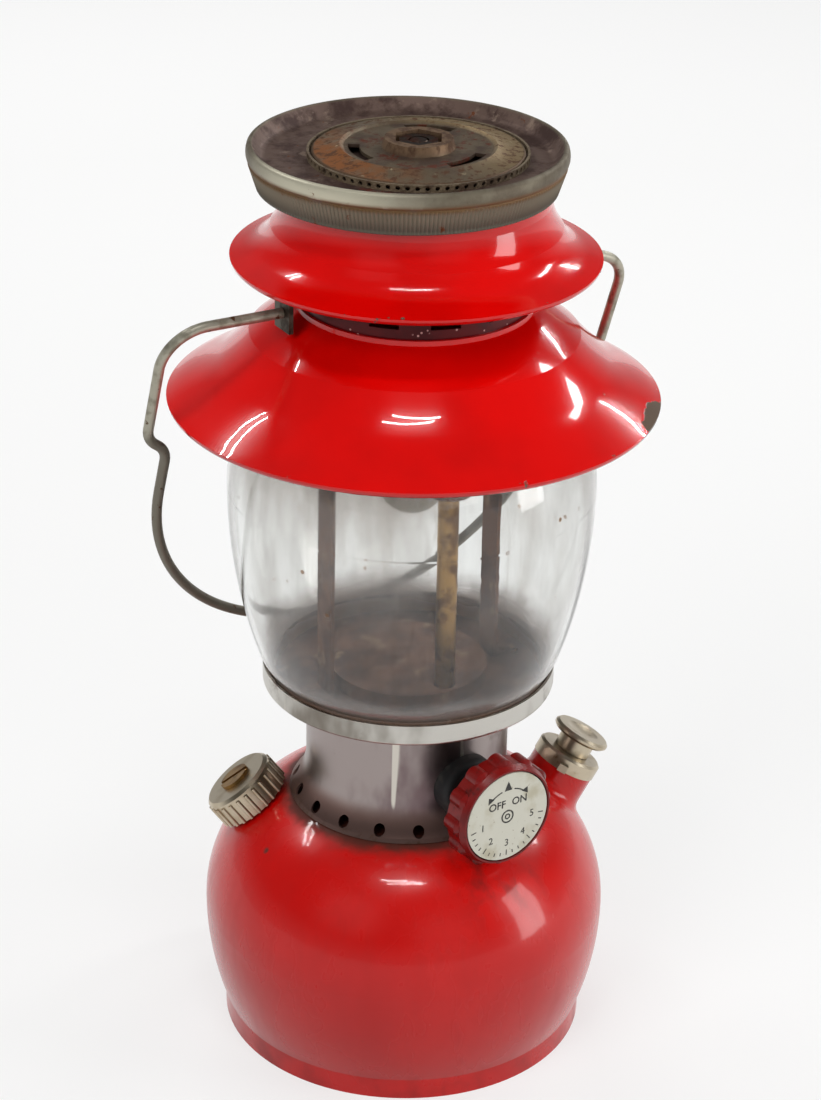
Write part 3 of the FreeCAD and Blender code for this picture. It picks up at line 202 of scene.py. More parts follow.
def fount_paint():
    finish = Finish(
        "fount_red", paint(200, 13, 9), 0.25, specular_ior_level=0.25, coat_weight=0.4, coat_roughness=0.07,
    )
    clouds = finish.noise(0.03)
    finish.layer(finish.step(clouds, 0.3, 0.85), paint(186, 11, 8), 0.3)
    smear = finish.noise(0.012, 3, finish.stretched((1, 1, 0.3)), 0.6)
    finish.layer(finish.step(smear, 0.45, 0.85), paint(184, 16, 12), 0.4)
    distance = finish.radius()
    ragged = finish.sum("ADD", distance, finish.mix(finish.noise(0.006, 5), -soot_ragged, soot_ragged))
    grime = finish.step(ragged, collar_foot_radius + soot_reach, collar_foot_radius + soot_solid)
    top = finish.step(finish.axis("Z"), dome_from, dome_at)
    finish.layer(finish.both(grime, top), paint(72, 36, 27), 0.6)
    dribble = finish.noise(0.007, 4, finish.stretched((1, 1, 0.15)), 0.6)
    below = finish.step(finish.distance(spill_middle, (1, 1, 0.7)), spill_reach, spill_solid)
    finish.layer(finish.both(below, finish.step(dribble, 0.42, 0.72)), paint(142, 15, 11), 0.4)
    foot = finish.step(finish.axis("Z"), foot_height, foot_solid)
    finish.layer(finish.both(foot, finish.step(finish.noise(0.012, 3), 0.4, 0.8)), paint(146, 12, 9), 0.45)
    chips = finish.step(finish.dots(0.02), 0.09, 0.05)
    few = finish.step(finish.noise(0.05, 2), 0.56, 0.6)
    finish.layer(finish.both(chips, few), paint(70, 44, 36), 0.6)
    finish.raise_by(finish.noise(0.003, 2), 0.000008)
    finish.raise_by(clouds, 0.0003)
    return finish.done()


coat(fount_paint(), "fount_shell")


# Plain steel inside: the pan in the tank's foot, the pump barrel, the frame strap and the burner.
# They are bare pressed or drawn steel, blued and browned where the flame heats them.


def inner_steel():
    finish = Finish("inner_steel_heated", paint(150, 144, 136), 0.38, metallic=1.0)
    heat = finish.noise(0.02, 4)
    finish.layer(finish.step(heat, 0.45, 0.62), paint(112, 92, 74), 0.45)
    finish.layer(finish.step(heat, 0.36, 0.26), paint(88, 90, 104), 0.32)
    rust = finish.step(finish.noise(0.005, 6, jagged=0.7), 0.62, 0.7)
    finish.layer(rust, paint(104, 58, 32), 0.8)
    finish.raise_by(finish.noise(0.0015, 4), 0.00006)
    return finish.done()


coat(
    inner_steel(), "base_pan", "pump_tube", "air_stem", "check_ball", "leather_washers",
    "cleaning_needle", "mixing_clip", "burner_gauze", "ventilator_spider", "globe_retainer",
    "retainer_posts",
)


def sooty_steel():
    finish = Finish("inner_steel_grimy", paint(112, 72, 46), 0.65, metallic=0.3)
    grime = finish.noise(0.018, 5, jagged=0.65)
    finish.layer(finish.step(grime, 0.4, 0.62), paint(74, 44, 28), 0.75)
    finish.layer(finish.step(finish.noise(0.007, 5), 0.58, 0.7), paint(128, 96, 66), 0.6)
    rust = finish.step(finish.noise(0.005, 6, jagged=0.7), 0.6, 0.68)
    finish.layer(rust, paint(100, 58, 36), 0.85)
    finish.raise_by(finish.noise(0.0012, 4), 0.00008)
    return finish.done()


coat(sooty_steel(), "floor_plate", "frame", "frame_rivets", "mixing_pipe", "burner_cap")


# Brass inside: the valve, the fuel pipe, the generator and the bushes. They are turned from bar,
# screwed or brazed in place, left bare and gone brown.


def brass():
    finish = Finish("brass_dulled", paint(168, 132, 80), 0.36, metallic=1.0)
    finish.layer(finish.step(finish.noise(0.008, 5), 0.42, 0.62), paint(112, 82, 54), 0.5)
    turning = finish.noise(0.0006, 2, finish.stretched((0.05, 0.05, 1)))
    finish.raise_by(turning, 0.00003)
    return finish.done()


coat(
    brass(), "check_valve", "filler_insert", "filler_neck", "filler_screw", "fuel_pipe", "gas_tip",
    "generator_nut", "generator_tube", "packing_nut", "valve_body", "valve_bushing", "valve_stem",
)


# Collar and globe seat: rolled and pressed steel, nickel plated. Upright brushing from the rolls,
# brownish tarnish in patches, scratches, and browner on the collar's flared foot. On the collar
# the tarnish and the plate are tinted purplish, a painted reflection of the red tank.

flare_from = collar_low.z + 0.0110
flare_at = collar_low.z + 0.0050
lip_from = collar_low.z + 0.0040
lip_at = collar_low.z + 0.0006


def plated_band(name, colour, tarnished, tarnish_amount):
    """Nickel plate that has tarnished over more of the band as the amount rises."""
    finish = Finish(name, colour, 0.31, metallic=1.0)
    finish.turned_grain(0.55)
    tarnish = finish.noise(0.024, 4, finish.stretched((1, 1, 0.5)), 0.55)
    low = 0.62 - tarnish_amount
    finish.layer(finish.step(tarnish, low, low + 0.24), tarnished, 0.32)
    bloom = finish.noise(0.01, 5, jagged=0.6)
    finish.layer(finish.step(bloom, 0.58, 0.8), paint(104, 90, 82), 0.38)
    brushed = finish.noise(0.0012, 3, finish.stretched((1, 1, 0.04)), 0.7)
    finish.layer(finish.step(brushed, 0.5, 0.75), roughness=0.34)
    scratches = finish.noise(0.005, 1, finish.stretched((1, 1, 0.05), turn=(20, 50, 0)))
    finish.layer(finish.step(scratches, 0.72, 0.76), paint(206, 200, 190), 0.3)
    flare = finish.step(finish.axis("Z"), flare_from, flare_at)
    finish.layer(flare, paint(150, 122, 114), 0.5)
    foot = finish.step(finish.axis("Z"), lip_from, lip_at)
    rust = finish.both(foot, finish.step(finish.noise(0.004, 6, jagged=0.7), 0.5, 0.72))
    finish.layer(rust, paint(128, 100, 84), 0.5)
    finish.raise_by(brushed, 0.00001)
    finish.raise_by(finish.noise(0.016, 2), 0.0003)
    return finish.done()


# The collar's purplish tint is a painted reflection of the red tank, laid over real tarnish.
coat(plated_band("nickel_tarnish_and_tank_reflection", paint(158, 147, 144), paint(112, 94, 96), 0.16), "collar")
coat(plated_band("nickel_seat", paint(200, 197, 190), paint(126, 119, 110), 0.16), "globe_seat")


# Pump knob and caps: small turned and stamped pieces in the same nickel plate, worn warm by the
# hand. The pump's cap locks on its neck with lugs, and the filler's cap screws on.


def handled_nickel():
    finish = Finish("nickel_handled", paint(194, 182, 160), 0.32, metallic=1.0)
    finish.layer(finish.step(finish.noise(0.007, 3), 0.45, 0.7), paint(178, 163, 138), 0.36)
    finish.layer(finish.step(finish.noise(0.0035, 4), 0.64, 0.8), paint(140, 120, 92), 0.42)
    streaks = finish.noise(0.001, 3, finish.stretched((1, 1, 0.2), turn=(0, -30, 11)))
    finish.layer(finish.step(streaks, 0.5, 0.75), roughness=0.34)
    finish.raise_by(streaks, 0.000012)
    return finish.done()


coat(handled_nickel(), "pump_cap", "pump_knob", "filler_cap")


# Leather and rubber: the pump's oiled cup, the filler's gasket and the dust boot on the valve stem.
# They are cut or moulded, and the pieces round them hold them.


def soft_black(name, colour, dust):
    finish = Finish(name, colour, 0.62)
    finish.layer(finish.step(finish.noise(0.005, 4), 0.5, 0.72), dust, 0.8)
    finish.raise_by(finish.noise(0.0006, 3), 0.00004)
    return finish.done()


coat(soft_black("boot_rubber", paint(22, 22, 23), paint(58, 55, 52)), "stem_boot")
coat(soft_black("gasket_black", paint(30, 28, 28), paint(52, 48, 46)), "filler_gasket")
coat(soft_black("leather_oiled", paint(92, 60, 36), paint(60, 38, 24)), "pump_leather")


# Valve wheel: moulded from dark red plastic and pushed on the valve stem, with dirt left in the
# groove round its dial.

wheel_axis_angle = -85.5
wheel_turned = math.radians(wheel_axis_angle)
wheel_low, wheel_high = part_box("valve_wheel")
wheel_out = Vector((math.cos(wheel_turned), math.sin(wheel_turned), 0))
wheel_height = (wheel_low.z + wheel_high.z) / 2
wheel_reach = 0.0505
wheel_middle = wheel_out * wheel_reach + Vector((0, 0, wheel_height))
groove_outer = 0.0168
groove_inner = 0.0152


def wheel_plastic():
    finish = Finish("wheel_red", paint(118, 12, 10), 0.28, specular_ior_level=0.35)
    finish.layer(finish.step(finish.noise(0.006, 4), 0.45, 0.7), paint(96, 10, 9), 0.36)
    grime = finish.step(finish.noise(0.0025, 5), 0.56, 0.72)
    finish.layer(grime, paint(70, 18, 15), 0.55)
    out_of_centre = finish.distance(wheel_middle)
    finish.layer(finish.step(out_of_centre, groove_outer, groove_inner), paint(58, 14, 12), 0.5)
    finish.raise_by(finish.noise(0.0008, 2), 0.00003)
    return finish.done()


coat(wheel_plastic(), "valve_wheel")


# Dial: a cream enamelled disc pressed into the wheel. A pointer, two curved arrows, ON and OFF and
# a scale with plain numbers are printed on it in black, worn thin in places.


def dial_cream():
    finish = Finish("dial_cream", paint(212, 210, 196), 0.4)
    finish.layer(finish.step(finish.noise(0.009, 4), 0.5, 0.75), paint(190, 184, 162), 0.5)
    finish.layer(finish.step(finish.noise(0.0016, 4), 0.66, 0.74), paint(150, 132, 104), 0.6)
    finish.raise_by(finish.noise(0.001, 2), 0.00002)
    return finish.done()


def dial_ink():
    finish = Finish("dial_ink", paint(30, 28, 26), 0.45)
    finish.layer(finish.step(finish.noise(0.0012, 4), 0.55, 0.7), paint(96, 88, 78), 0.5)
    return finish.done()


coat(dial_cream(), "wheel_dial")

dial_face = 0.0556
ink_thickness = 0.00006
number_height = 0.0034
word_height = 0.0036
pointer_corners = ((-0.0014, 0.0092), (0.0014, 0.0092), (0, 0.0124))
rings = ((0.0018, 0.0023, 40), (0.0006, 0.0010, 24))
arrow_shaft = (0.0093, 0.0097)
arrow_turns = ((128, 104), (52, 76))
arrow_steps = 12
arrow_tip = (0.0074, 0.0062)
arrow_corners = ((0, 0), (-0.0001, 0.0023), (-0.0023, 0.0014))
tick_count = 17
tick_step = 10
tick_half_width = 0.7
tick_outer = 0.0138
tick_inner = 0.0127
long_tick_inner = 0.0119
scale_start = 190
number_count = 5
number_step = 40
number_radius = 0.0094
words = (("OFF", -0.0040, 0.0046), ("ON", 0.0044, 0.0046))


def strip(form, inner, outer, first, last, steps):
    """A flat printed band round the dial's centre, between two angles."""
    closed = last - first == 360
    first, turn = math.radians(first), math.radians(last - first)
    ends = [form.verts.new((r * math.cos(first), r * math.sin(first), 0)) for r in (inner, outer)]
    edge = form.edges.new(ends)
    bmesh.ops.spin(
        form, geom=ends + [edge], cent=(0, 0, 0), axis=(0, 0, 1), dvec=(0, 0, 0), angle=turn,
        steps=steps, use_merge=closed, use_duplicate=False,
    )


def print_words(form, text, height, across, up, boldness=0.012):
    """Adds a word or number, centred on a point of the dial, its strokes swelled by the boldness."""
    curve = bpy.data.curves.new("print", "FONT")
    curve.body = text
    curve.size = height
    curve.align_x = "CENTER"
    curve.align_y = "CENTER"
    curve.offset = height * boldness
    drawn = bpy.data.objects.new("print", curve)
    letters = bpy.data.meshes.new_from_object(drawn)
    letters.transform(Matrix.Translation((across, up, 0)))
    form.from_mesh(letters)
    bpy.data.objects.remove(drawn)
    bpy.data.meshes.remove(letters)
    bpy.data.curves.remove(curve)


def piece(name, form, material, body):
    """A finished mesh as a piece of the lantern that moves with a body."""
    mesh = bpy.data.meshes.new(name)
    form.to_mesh(mesh)
    form.free()
    mesh.materials.append(material)
    made = bpy.data.objects.new(name, mesh)
    bpy.context.scene.collection.objects.link(made)
    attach(made, body)
    return made


marks = bmesh.new()
marks.faces.new([marks.verts.new((across, up, 0)) for across, up in pointer_corners])
for inner, outer, steps in rings:
    strip(marks, inner, outer, 0, 360, steps)
for first, last in arrow_turns:
    strip(marks, *arrow_shaft, first, last, arrow_steps)
for side in (-1, 1):
    tip = Vector((side * arrow_tip[0], arrow_tip[1], 0))
    head = [tip + Vector((side * across, up, 0)) for across, up in arrow_corners]
    marks.faces.new([marks.verts.new(corner) for corner in head])
for tick in range(tick_count):
    angle = scale_start + tick * tick_step
    inner = long_tick_inner if tick * tick_step % number_step == 0 else tick_inner
    strip(marks, inner, tick_outer, angle - tick_half_width, angle + tick_half_width, 1)
for number in range(number_count):
    angle = math.radians(scale_start + number * number_step)
    across, up = number_radius * math.cos(angle), number_radius * math.sin(angle)
    print_words(marks, str(number + 1), number_height, across, up, boldness=0.0)
for word, across, up in words:
    print_words(marks, word, word_height, across, up)
bmesh.ops.recalc_face_normals(marks, faces=marks.faces)
flipped = [face for face in marks.faces if face.normal.z < 0]
bmesh.ops.reverse_faces(marks, faces=flipped)
raised = bmesh.ops.extrude_face_region(marks, geom=marks.faces[:])
top_corners = [part for part in raised["geom"] if isinstance(part, bmesh.types.BMVert)]
bmesh.ops.translate(marks, verts=top_corners, vec=(0, 0, ink_thickness))
dial_right = wheel_out.cross(Vector((0, 0, -1)))
dial_stand = Matrix((
    (dial_right.x, 0, wheel_out.x, wheel_out.x * dial_face),
    (dial_right.y, 0, wheel_out.y, wheel_out.y * dial_face),
    (dial_right.z, 1, wheel_out.z, wheel_height),
    (0, 0, 0, 1),
))
bmesh.ops.transform(marks, matrix=dial_stand, verts=marks.verts)
bmesh.ops.recalc_face_normals(marks, faces=marks.faces)
piece("dial_print", marks, dial_ink(), "valve_wheel")


# Fasteners and brackets: mild steel, brown from heat on the cap's nut and washer, and dull
# olive-grey on the two ears that carry the bail.


def steel_brown(name, colour, rusty):
    finish = Finish(name, colour, 0.46, metallic=1.0)
    finish.layer(finish.step(finish.noise(0.004, 5), 0.45, 0.62), rusty, 0.62)
    finish.raise_by(finish.noise(0.001, 4), 0.00005)
    return finish.done()


coat(
    steel_brown("fastener_brown", paint(74, 62, 54), paint(78, 46, 34)),
    "wheel_nut", "frame_stud", "plate_collar", "top_washer", "top_nut",
)
coat(steel_brown("ear_olive", paint(86, 82, 72), paint(60, 54, 46)), "bail_ear_left", "bail_ear_right")


# Mantle: a knitted silk bag burnt to a brittle white ash. It is tied over the burner cap and hangs
# free inside the globe.


def mantle_ash():
    finish = Finish("mantle_ash_white", paint(226, 222, 212), 0.9, subsurface_weight=0.1)
    finish.layer(finish.step(finish.noise(0.006, 4), 0.5, 0.7), paint(188, 180, 166))
    knit = finish.dots(0.0011)
    finish.raise_by(knit, 0.0004)
    return finish.done()


coat(mantle_ash(), "mantle")


# Globe: clear pressed glass. A haze of burnt fuel hangs on it, and a brown ring of grime sits
# round its foot.

globe_low, globe_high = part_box("globe")
grime_from = globe_low.z + 0.016
grime_at = globe_low.z + 0.002
grime_wave = 0.004
soot_from = globe_high.z - 0.05
haze_from = globe_low.z + 0.03
haze_at = globe_low.z + 0.06
grime_film = 0.7
haze_film = 0.2


def globe_glass():
    finish = Finish("globe_clear", paint(246, 247, 246), 0.015, transmission_weight=1.0, ior=1.46)
    height = finish.axis("Z")
    wavy = finish.sum("ADD", height, finish.mix(finish.noise(0.02, 4), -grime_wave, grime_wave))
    foot = finish.step(wavy, grime_from, grime_at)
    haze = finish.noise(0.026, 4, finish.stretched((1, 1, 0.3)), 0.6)
    finish.layer(finish.step(haze, 0.4, 0.75), paint(214, 212, 208), 0.09)
    soot = finish.step(wavy, soot_from, globe_high.z)
    finish.layer(finish.both(soot, finish.step(haze, 0.3, 0.6)), paint(170, 160, 150), 0.12)
    streaks = finish.noise(0.004, 3, finish.stretched((1, 1, 0.04)), 0.6)
    finish.layer(finish.step(streaks, 0.58, 0.72), paint(222, 220, 216), 0.14)
    finish.layer(foot, paint(116, 82, 58), 0.3)
    specks = finish.step(finish.dots(0.014), 0.075, 0.045)
    few = finish.step(finish.noise(0.03, 2), 0.5, 0.55)
    finish.layer(finish.both(specks, few), paint(146, 96, 58), 0.5)
    hazy = finish.both(finish.step(haze, 0.38, 0.8), finish.step(height, haze_from, haze_at))
    film = finish.either(finish.both(foot, grime_film), finish.both(hazy, haze_film))
    finish.fill("Transmission Weight", finish.sum("SUBTRACT", 1.0, film))
    finish.raise_by(finish.noise(0.03, 1, finish.stretched((1, 1, 0.4))), 0.0003)
    return finish.done()


coat(globe_glass(), "globe")


# Ventilator: two pressed steel tiers in glossy red enamel on a neck in dark maroon enamel.
# Enamel chips at the rims down to its grey-brown ground coat.

lower_low, lower_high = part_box("ventilator_lower")
upper_low, upper_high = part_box("ventilator_upper")
lower_flare = 0.016
upper_flare = 0.011
flare_end = 0.0015
flare_rise = 0.0013
lip_width = 0.0022
lip_solid_width = 0.0008
lip_height = 0.0045
lip_solid_height = 0.0025
lower_chip = (-43, 0.024, 0.007)
chip_height = 0.0014
chip_wave = 0.004
chip_edge = 0.0008
chip_depth = 0.0002


def tier_enamel(name, brim_radius, brim_height, flare_width, big_chip=None):
    """A tier's enamel. A big chip on its lip is given by its angle, its length and its width."""
    finish = Finish(
        name, paint(218, 4, 2), 0.16, specular_ior_level=0.15, coat_weight=0.7, coat_roughness=0.015,
    )
    finish.layer(finish.step(finish.noise(0.04), 0.4, 0.75), paint(200, 4, 2), 0.18)
    finish.layer(finish.step(finish.noise(0.006, 5, jagged=0.7), 0.6, 0.8), roughness=0.3)
    distance = finish.radius()
    edge = finish.both(
        finish.step(distance, brim_radius - lip_width, brim_radius - lip_solid_width),
        finish.step(finish.axis("Z"), brim_height + lip_height, brim_height + lip_solid_height),
    )
    nicks = finish.step(finish.noise(0.0045, 5, jagged=0.6), 0.66, 0.7)
    chips = finish.both(edge, nicks)
    if big_chip:
        chip_angle, chip_length, chip_width = big_chip
        turned = math.radians(chip_angle)
        across, along = brim_radius * math.cos(turned), brim_radius * math.sin(turned)
        centre = (across, along, brim_height + chip_height)
        reach = finish.sum(
            "ADD",
            finish.distance(centre, (1, 1, chip_length / chip_width)),
            finish.mix(finish.noise(0.004, 5), -chip_wave, chip_wave),
        )
        chips = finish.either(chips, finish.step(reach, chip_length / 2, chip_length / 2 - chip_edge))
    specks = finish.step(finish.dots(0.017), 0.045, 0.03)
    few = finish.step(finish.noise(0.04, 2), 0.55, 0.58)
    chips = finish.either(chips, finish.both(specks, few))
    finish.layer(chips, paint(92, 76, 62), 0.7)
    flare = finish.step(distance, brim_radius - flare_width, brim_radius - flare_end)
    finish.raise_by(flare, flare_rise)
    finish.raise_by(finish.noise(0.02, 2), 0.00004)
    finish.raise_by(chips, -chip_depth)
    return finish.done()


lower_enamel = tier_enamel("enamel_lower_tier", lower_high.x, lower_low.z, lower_flare, lower_chip)
coat(lower_enamel, "ventilator_lower")
coat(tier_enamel("enamel_upper_tier", upper_high.x, upper_low.z, upper_flare), "ventilator_upper")


def neck_enamel():
    finish = Finish("enamel_neck", paint(88, 10, 15), 0.3, specular_ior_level=0.2)
    finish.layer(finish.step(finish.noise(0.012, 4), 0.45, 0.7), paint(64, 9, 13), 0.38)
    # Painted glints: tiny pale specks stand in for reflections of small lamps.
    glint_dots = finish.step(finish.dots(0.0020), 0.2, 0.12)
    few = finish.step(finish.noise(0.006, 2), 0.5, 0.56)
    finish.layer(finish.both(glint_dots, few), paint(206, 160, 154), 0.2)
    finish.raise_by(finish.noise(0.002, 3), 0.00005)
    return finish.done()


coat(neck_enamel(), "ventilator_neck")


# Bail: drawn steel wire, bent on a jig and sprung into its two ears. It is dull and pale above, and
# it is painted darker below its jogs as painted shade.

bail_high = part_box("bail")[1]
# Heights where the painted shade on the bail begins and where it is full.
jog_top = bail_high.z - 0.034
jog_foot = bail_high.z - 0.044


def bail_steel():
    finish = Finish("bail_dull", paint(172, 168, 152), 0.45, metallic=0.7)
    finish.layer(finish.step(finish.noise(0.005, 5), 0.45, 0.65), paint(138, 134, 118), 0.55)
    # Painted shade: the wire is painted darker below its jogs.
    low = finish.step(finish.axis("Z"), jog_top, jog_foot)
    finish.layer(low, paint(124, 118, 106), 0.55)
    finish.layer(finish.step(finish.noise(0.003, 6), 0.64, 0.7), paint(96, 66, 44), 0.8)
    finish.raise_by(finish.noise(0.0012, 4), 0.00006)
    return finish.done()


coat(bail_steel(), "bail")


# Hot plate: a pressed steel dish with a rolled shoulder and a ribbed rim that draws in below.
# Its face is sooty grey-brown with rust, and the shoulder has a pale painted highlight at the front left.

plate_low, plate_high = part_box("hot_plate")
plate_centre = Vector(((plate_low.x + plate_high.x) / 2, (plate_low.y + plate_high.y) / 2, 0))
plate_radius = (plate_high.x - plate_low.x) / 2
plate_foot_radius = plate_radius - 0.0033
plate_height = plate_high.z - plate_low.z
plate_wall = 0.0013
plate_face = plate_high.z - 0.0042
plate_floor_wall = 0.0010
plate_hole_radius = 0.0094
rib_count = 240
rib_depth = 0.00042
rib_low = plate_low.z + 0.0011
rib_high = plate_high.z - 0.0056
groove_depth = 0.0006
groove_middle = rib_high + 0.0006
groove_top = rib_high + 0.0012
shoulder_height = plate_high.z - 0.0026
lip_outer = plate_radius - 0.0010
lip_inner = plate_radius - 0.0021
lean_height = plate_height - 0.0028
band_skin = 0.0005
near = 1e-5
outside_from = plate_radius - 0.0026
outside_at = plate_radius - 0.0018
shoulder_from = rib_high + 0.0010
shoulder_at = rib_high + 0.0016
wall_from = plate_foot_radius - 0.001
band_from = rib_high + 0.0002
band_foot_from = rib_low + 0.0045
band_foot_at = rib_low - 0.0005
crease_low_from = rib_high - 0.0012
crease_low_at = rib_high + 0.0005
crease_high_from = rib_high + 0.0026
crease_high_at = rib_high + 0.0008
# Where the pale painted highlight on the shoulder is centred, and how far it reaches.
highlight_middle = (-0.050, -0.022, plate_high.z)
highlight_reach = 0.044
highlight_solid = 0.008
rusted_middle = (-0.026, -0.022, plate_face)
rusted_reach = 0.007
rusted_solid = 0.002


def plate_steel():
    finish = Finish("plate_sooty", paint(106, 86, 77), 0.55, metallic=0.55)
    soot = finish.noise(0.014, 5, jagged=0.68)
    finish.layer(finish.step(soot, 0.42, 0.6), paint(70, 51, 46), 0.65)
    finish.layer(finish.step(finish.noise(0.008, 5, jagged=0.65), 0.58, 0.7), paint(140, 120, 106), 0.55)
    height = finish.axis("Z")
    distance = finish.radius(plate_centre)
    outside = finish.step(distance, outside_from, outside_at)
    shoulder = finish.both(outside, finish.step(height, shoulder_from, shoulder_at))
    finish.layer(shoulder, paint(112, 104, 88), 0.55)
    finish.layer(finish.both(shoulder, finish.step(soot, 0.4, 0.62)), paint(92, 82, 68), 0.6)
    # Painted highlight: the shoulder is painted pale at the front left.
    shoulder_highlight = finish.step(finish.distance(highlight_middle), highlight_reach, highlight_solid)
    finish.layer(finish.both(shoulder, shoulder_highlight), paint(196, 191, 170), 0.45)
    outer_wall = finish.step(distance, wall_from, plate_foot_radius)
    band = finish.both(outer_wall, finish.step(height, band_from, rib_high))
    finish.layer(band, paint(122, 114, 98), 0.5)
    foot = finish.both(band, finish.step(height, band_foot_from, band_foot_at))
    finish.layer(foot, paint(92, 87, 76), 0.55)
    brown = finish.both(outside, finish.both(
        finish.step(height, crease_low_from, crease_low_at),
        finish.step(height, crease_high_from, crease_high_at),
    ))
    finish.layer(finish.both(brown, finish.step(soot, 0.3, 0.5)), paint(116, 88, 58), 0.65)
    rusted = finish.step(finish.distance(rusted_middle), rusted_reach, rusted_solid)
    flecks = finish.step(finish.noise(0.003, 5), 0.4, 0.6)
    finish.layer(finish.both(rusted, flecks), paint(112, 44, 30), 0.8)
    rust = finish.step(finish.noise(0.006, 6, jagged=0.7), 0.63, 0.7)
    finish.layer(rust, paint(116, 66, 40), 0.85)
    finish.raise_by(soot, 0.0002)
    finish.raise_by(finish.noise(0.0012, 4), 0.00006)
    return finish.done()


rounding_steps = 4
sharpest_smooth = 40
weld = 1e-7


def spun(outline, centre, steps):
    """A ring: an outline of (radius, height, rounding) corners turned about an upright axis."""
    form = bmesh.new()
    corners = [form.verts.new((radius, 0, height)) for radius, height, _ in outline]
    for first, second in zip(corners, corners[1:] + corners[:1]):
        form.edges.new((first, second))
    for corner, (_, _, rounding) in zip(corners, outline):
        if rounding:
            bmesh.ops.bevel(
                form, geom=[corner], offset=rounding, segments=rounding_steps, affect="VERTICES",
                profile=0.5, material=-1,
            )
    bmesh.ops.spin(
        form, geom=form.verts[:] + form.edges[:], cent=(0, 0, 0), axis=(0, 0, 1), dvec=(0, 0, 0),
        angle=math.tau, steps=steps, use_merge=True, use_duplicate=False,
    )
    bmesh.ops.remove_doubles(form, verts=form.verts, dist=weld)
    bmesh.ops.translate(form, verts=form.verts, vec=centre)
    bmesh.ops.recalc_face_normals(form, faces=form.faces)
    for face in form.faces:
        face.smooth = True
    for edge in form.edges:
        edge.smooth = edge.calc_face_angle(0) < math.radians(sharpest_smooth)
    return form


def band_radius(height):
    """The rim's outer radius at a height, as it leans out from its foot to its shoulder."""
    lean = (plate_radius - plate_foot_radius) / lean_height
    return plate_foot_radius + lean * (height - plate_low.z)


plate_outline = [
    (plate_foot_radius - plate_wall, plate_low.z, 0),
    (plate_foot_radius, plate_low.z, 0.0003),
    (band_radius(rib_low), rib_low, 0),
    (band_radius(rib_high), rib_high, 0),
    (band_radius(groove_middle) - groove_depth, groove_middle, 0.0003),
    (band_radius(groove_top) - 0.0002, groove_top, 0.0003),
    (plate_radius, shoulder_height, 0.0018),
    (lip_outer, plate_high.z, 0.0009),
    (lip_inner, plate_high.z, 0.0005),
    (plate_foot_radius - plate_wall - 0.0004, plate_face, 0.0016),
    (plate_hole_radius, plate_face, 0.0003),
    (plate_hole_radius, plate_face - plate_floor_wall, 0),
    (plate_foot_radius - plate_wall, plate_face - plate_floor_wall, 0.0008),
]
plate = spun(plate_outline, plate_centre, 2 * rib_count)
# Every second corner of the rim's band is pushed in, which leaves the ribs between them.
for corner in plate.verts:
    out = Vector((corner.co.x - plate_centre.x, corner.co.y - plate_centre.y, 0))
    on_band = rib_low - near < corner.co.z < rib_high + near
    if on_band and out.length > band_radius(corner.co.z) - band_skin:
        turn = math.atan2(out.y, out.x) / math.tau
        if round(turn * 2 * rib_count) % 2:
            corner.co -= out.normalized() * rib_depth
        for face in corner.link_faces:
            face.smooth = False
hot_plate = piece("hot_plate_ribbed", plate, plate_steel(), "ventilator")
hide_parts("hot_plate")


# Cap: a stamped steel disc with three curved slots and a raised hub, over a perforated ring.
# Heat has coloured it brown, and its left edge has rusted orange. Its band is painted a paler
# straw towards the right, with pale specks, as a painted highlight and painted glints.

cap_band_from = 0.0215
cap_band_at = 0.0235
# Where the painted highlight on the cap's band begins and where it is full, across the cap.
right_highlight_from = -0.004
right_highlight_at = 0.022
orange_from = -0.006
orange_at = -0.024
recess_from = 0.0222
recess_at = 0.0205
hub_from = 0.0112
hub_at = 0.0104
cap_rim_from = 0.0304
cap_rim_at = 0.0312


def cap_steel():
    finish = Finish("cap_heat_tint_and_highlight", paint(124, 110, 90), 0.46, metallic=0.75)
    distance = finish.radius()
    patches = finish.noise(0.011, 5, jagged=0.62)
    finish.layer(finish.step(patches, 0.42, 0.64), paint(100, 84, 70), 0.56)
    band = finish.step(distance, cap_band_from, cap_band_at)
    # Painted highlight: the band turns a paler straw colour towards the right.
    right_side_highlight = finish.both(band, finish.step(finish.axis("X"), right_highlight_from, right_highlight_at))
    finish.layer(right_side_highlight, paint(156, 134, 98), 0.42)
    orange = finish.both(band, finish.step(finish.axis("X"), orange_from, orange_at))
    finish.layer(finish.both(orange, finish.step(patches, 0.34, 0.6)), paint(150, 96, 56), 0.7)
    freckles = finish.noise(0.0024, 5, jagged=0.65)
    finish.layer(finish.both(band, finish.step(freckles, 0.5, 0.62)), paint(102, 70, 50), 0.7)
    recess = finish.step(distance, recess_from, recess_at)
    finish.layer(finish.both(recess, finish.step(patches, 0.36, 0.66)), paint(88, 72, 62), 0.58)
    streaks = finish.noise(0.005, 6, finish.stretched((1, 1, 0.4)), 0.72)
    finish.layer(finish.both(recess, finish.step(streaks, 0.52, 0.64)), paint(112, 56, 40), 0.75)
    finish.layer(finish.step(streaks, 0.62, 0.7), paint(108, 62, 40), 0.8)
    hub = finish.step(distance, hub_from, hub_at)
    finish.layer(hub, paint(134, 108, 84), 0.55)
    finish.layer(finish.both(hub, finish.step(streaks, 0.46, 0.6)), paint(96, 72, 56), 0.65)
    # Painted glints: pale specks scattered over the band.
    glint_specks = finish.step(finish.noise(0.0028, 4), 0.66, 0.74)
    finish.layer(finish.both(glint_specks, band), paint(190, 176, 144), 0.5)
    rim = finish.step(distance, cap_rim_from, cap_rim_at)
    finish.layer(rim, paint(96, 76, 58), 0.6)
    finish.raise_by(patches, 0.0004)
    finish.raise_by(finish.noise(0.0012, 5), 0.00008)
    return finish.done()


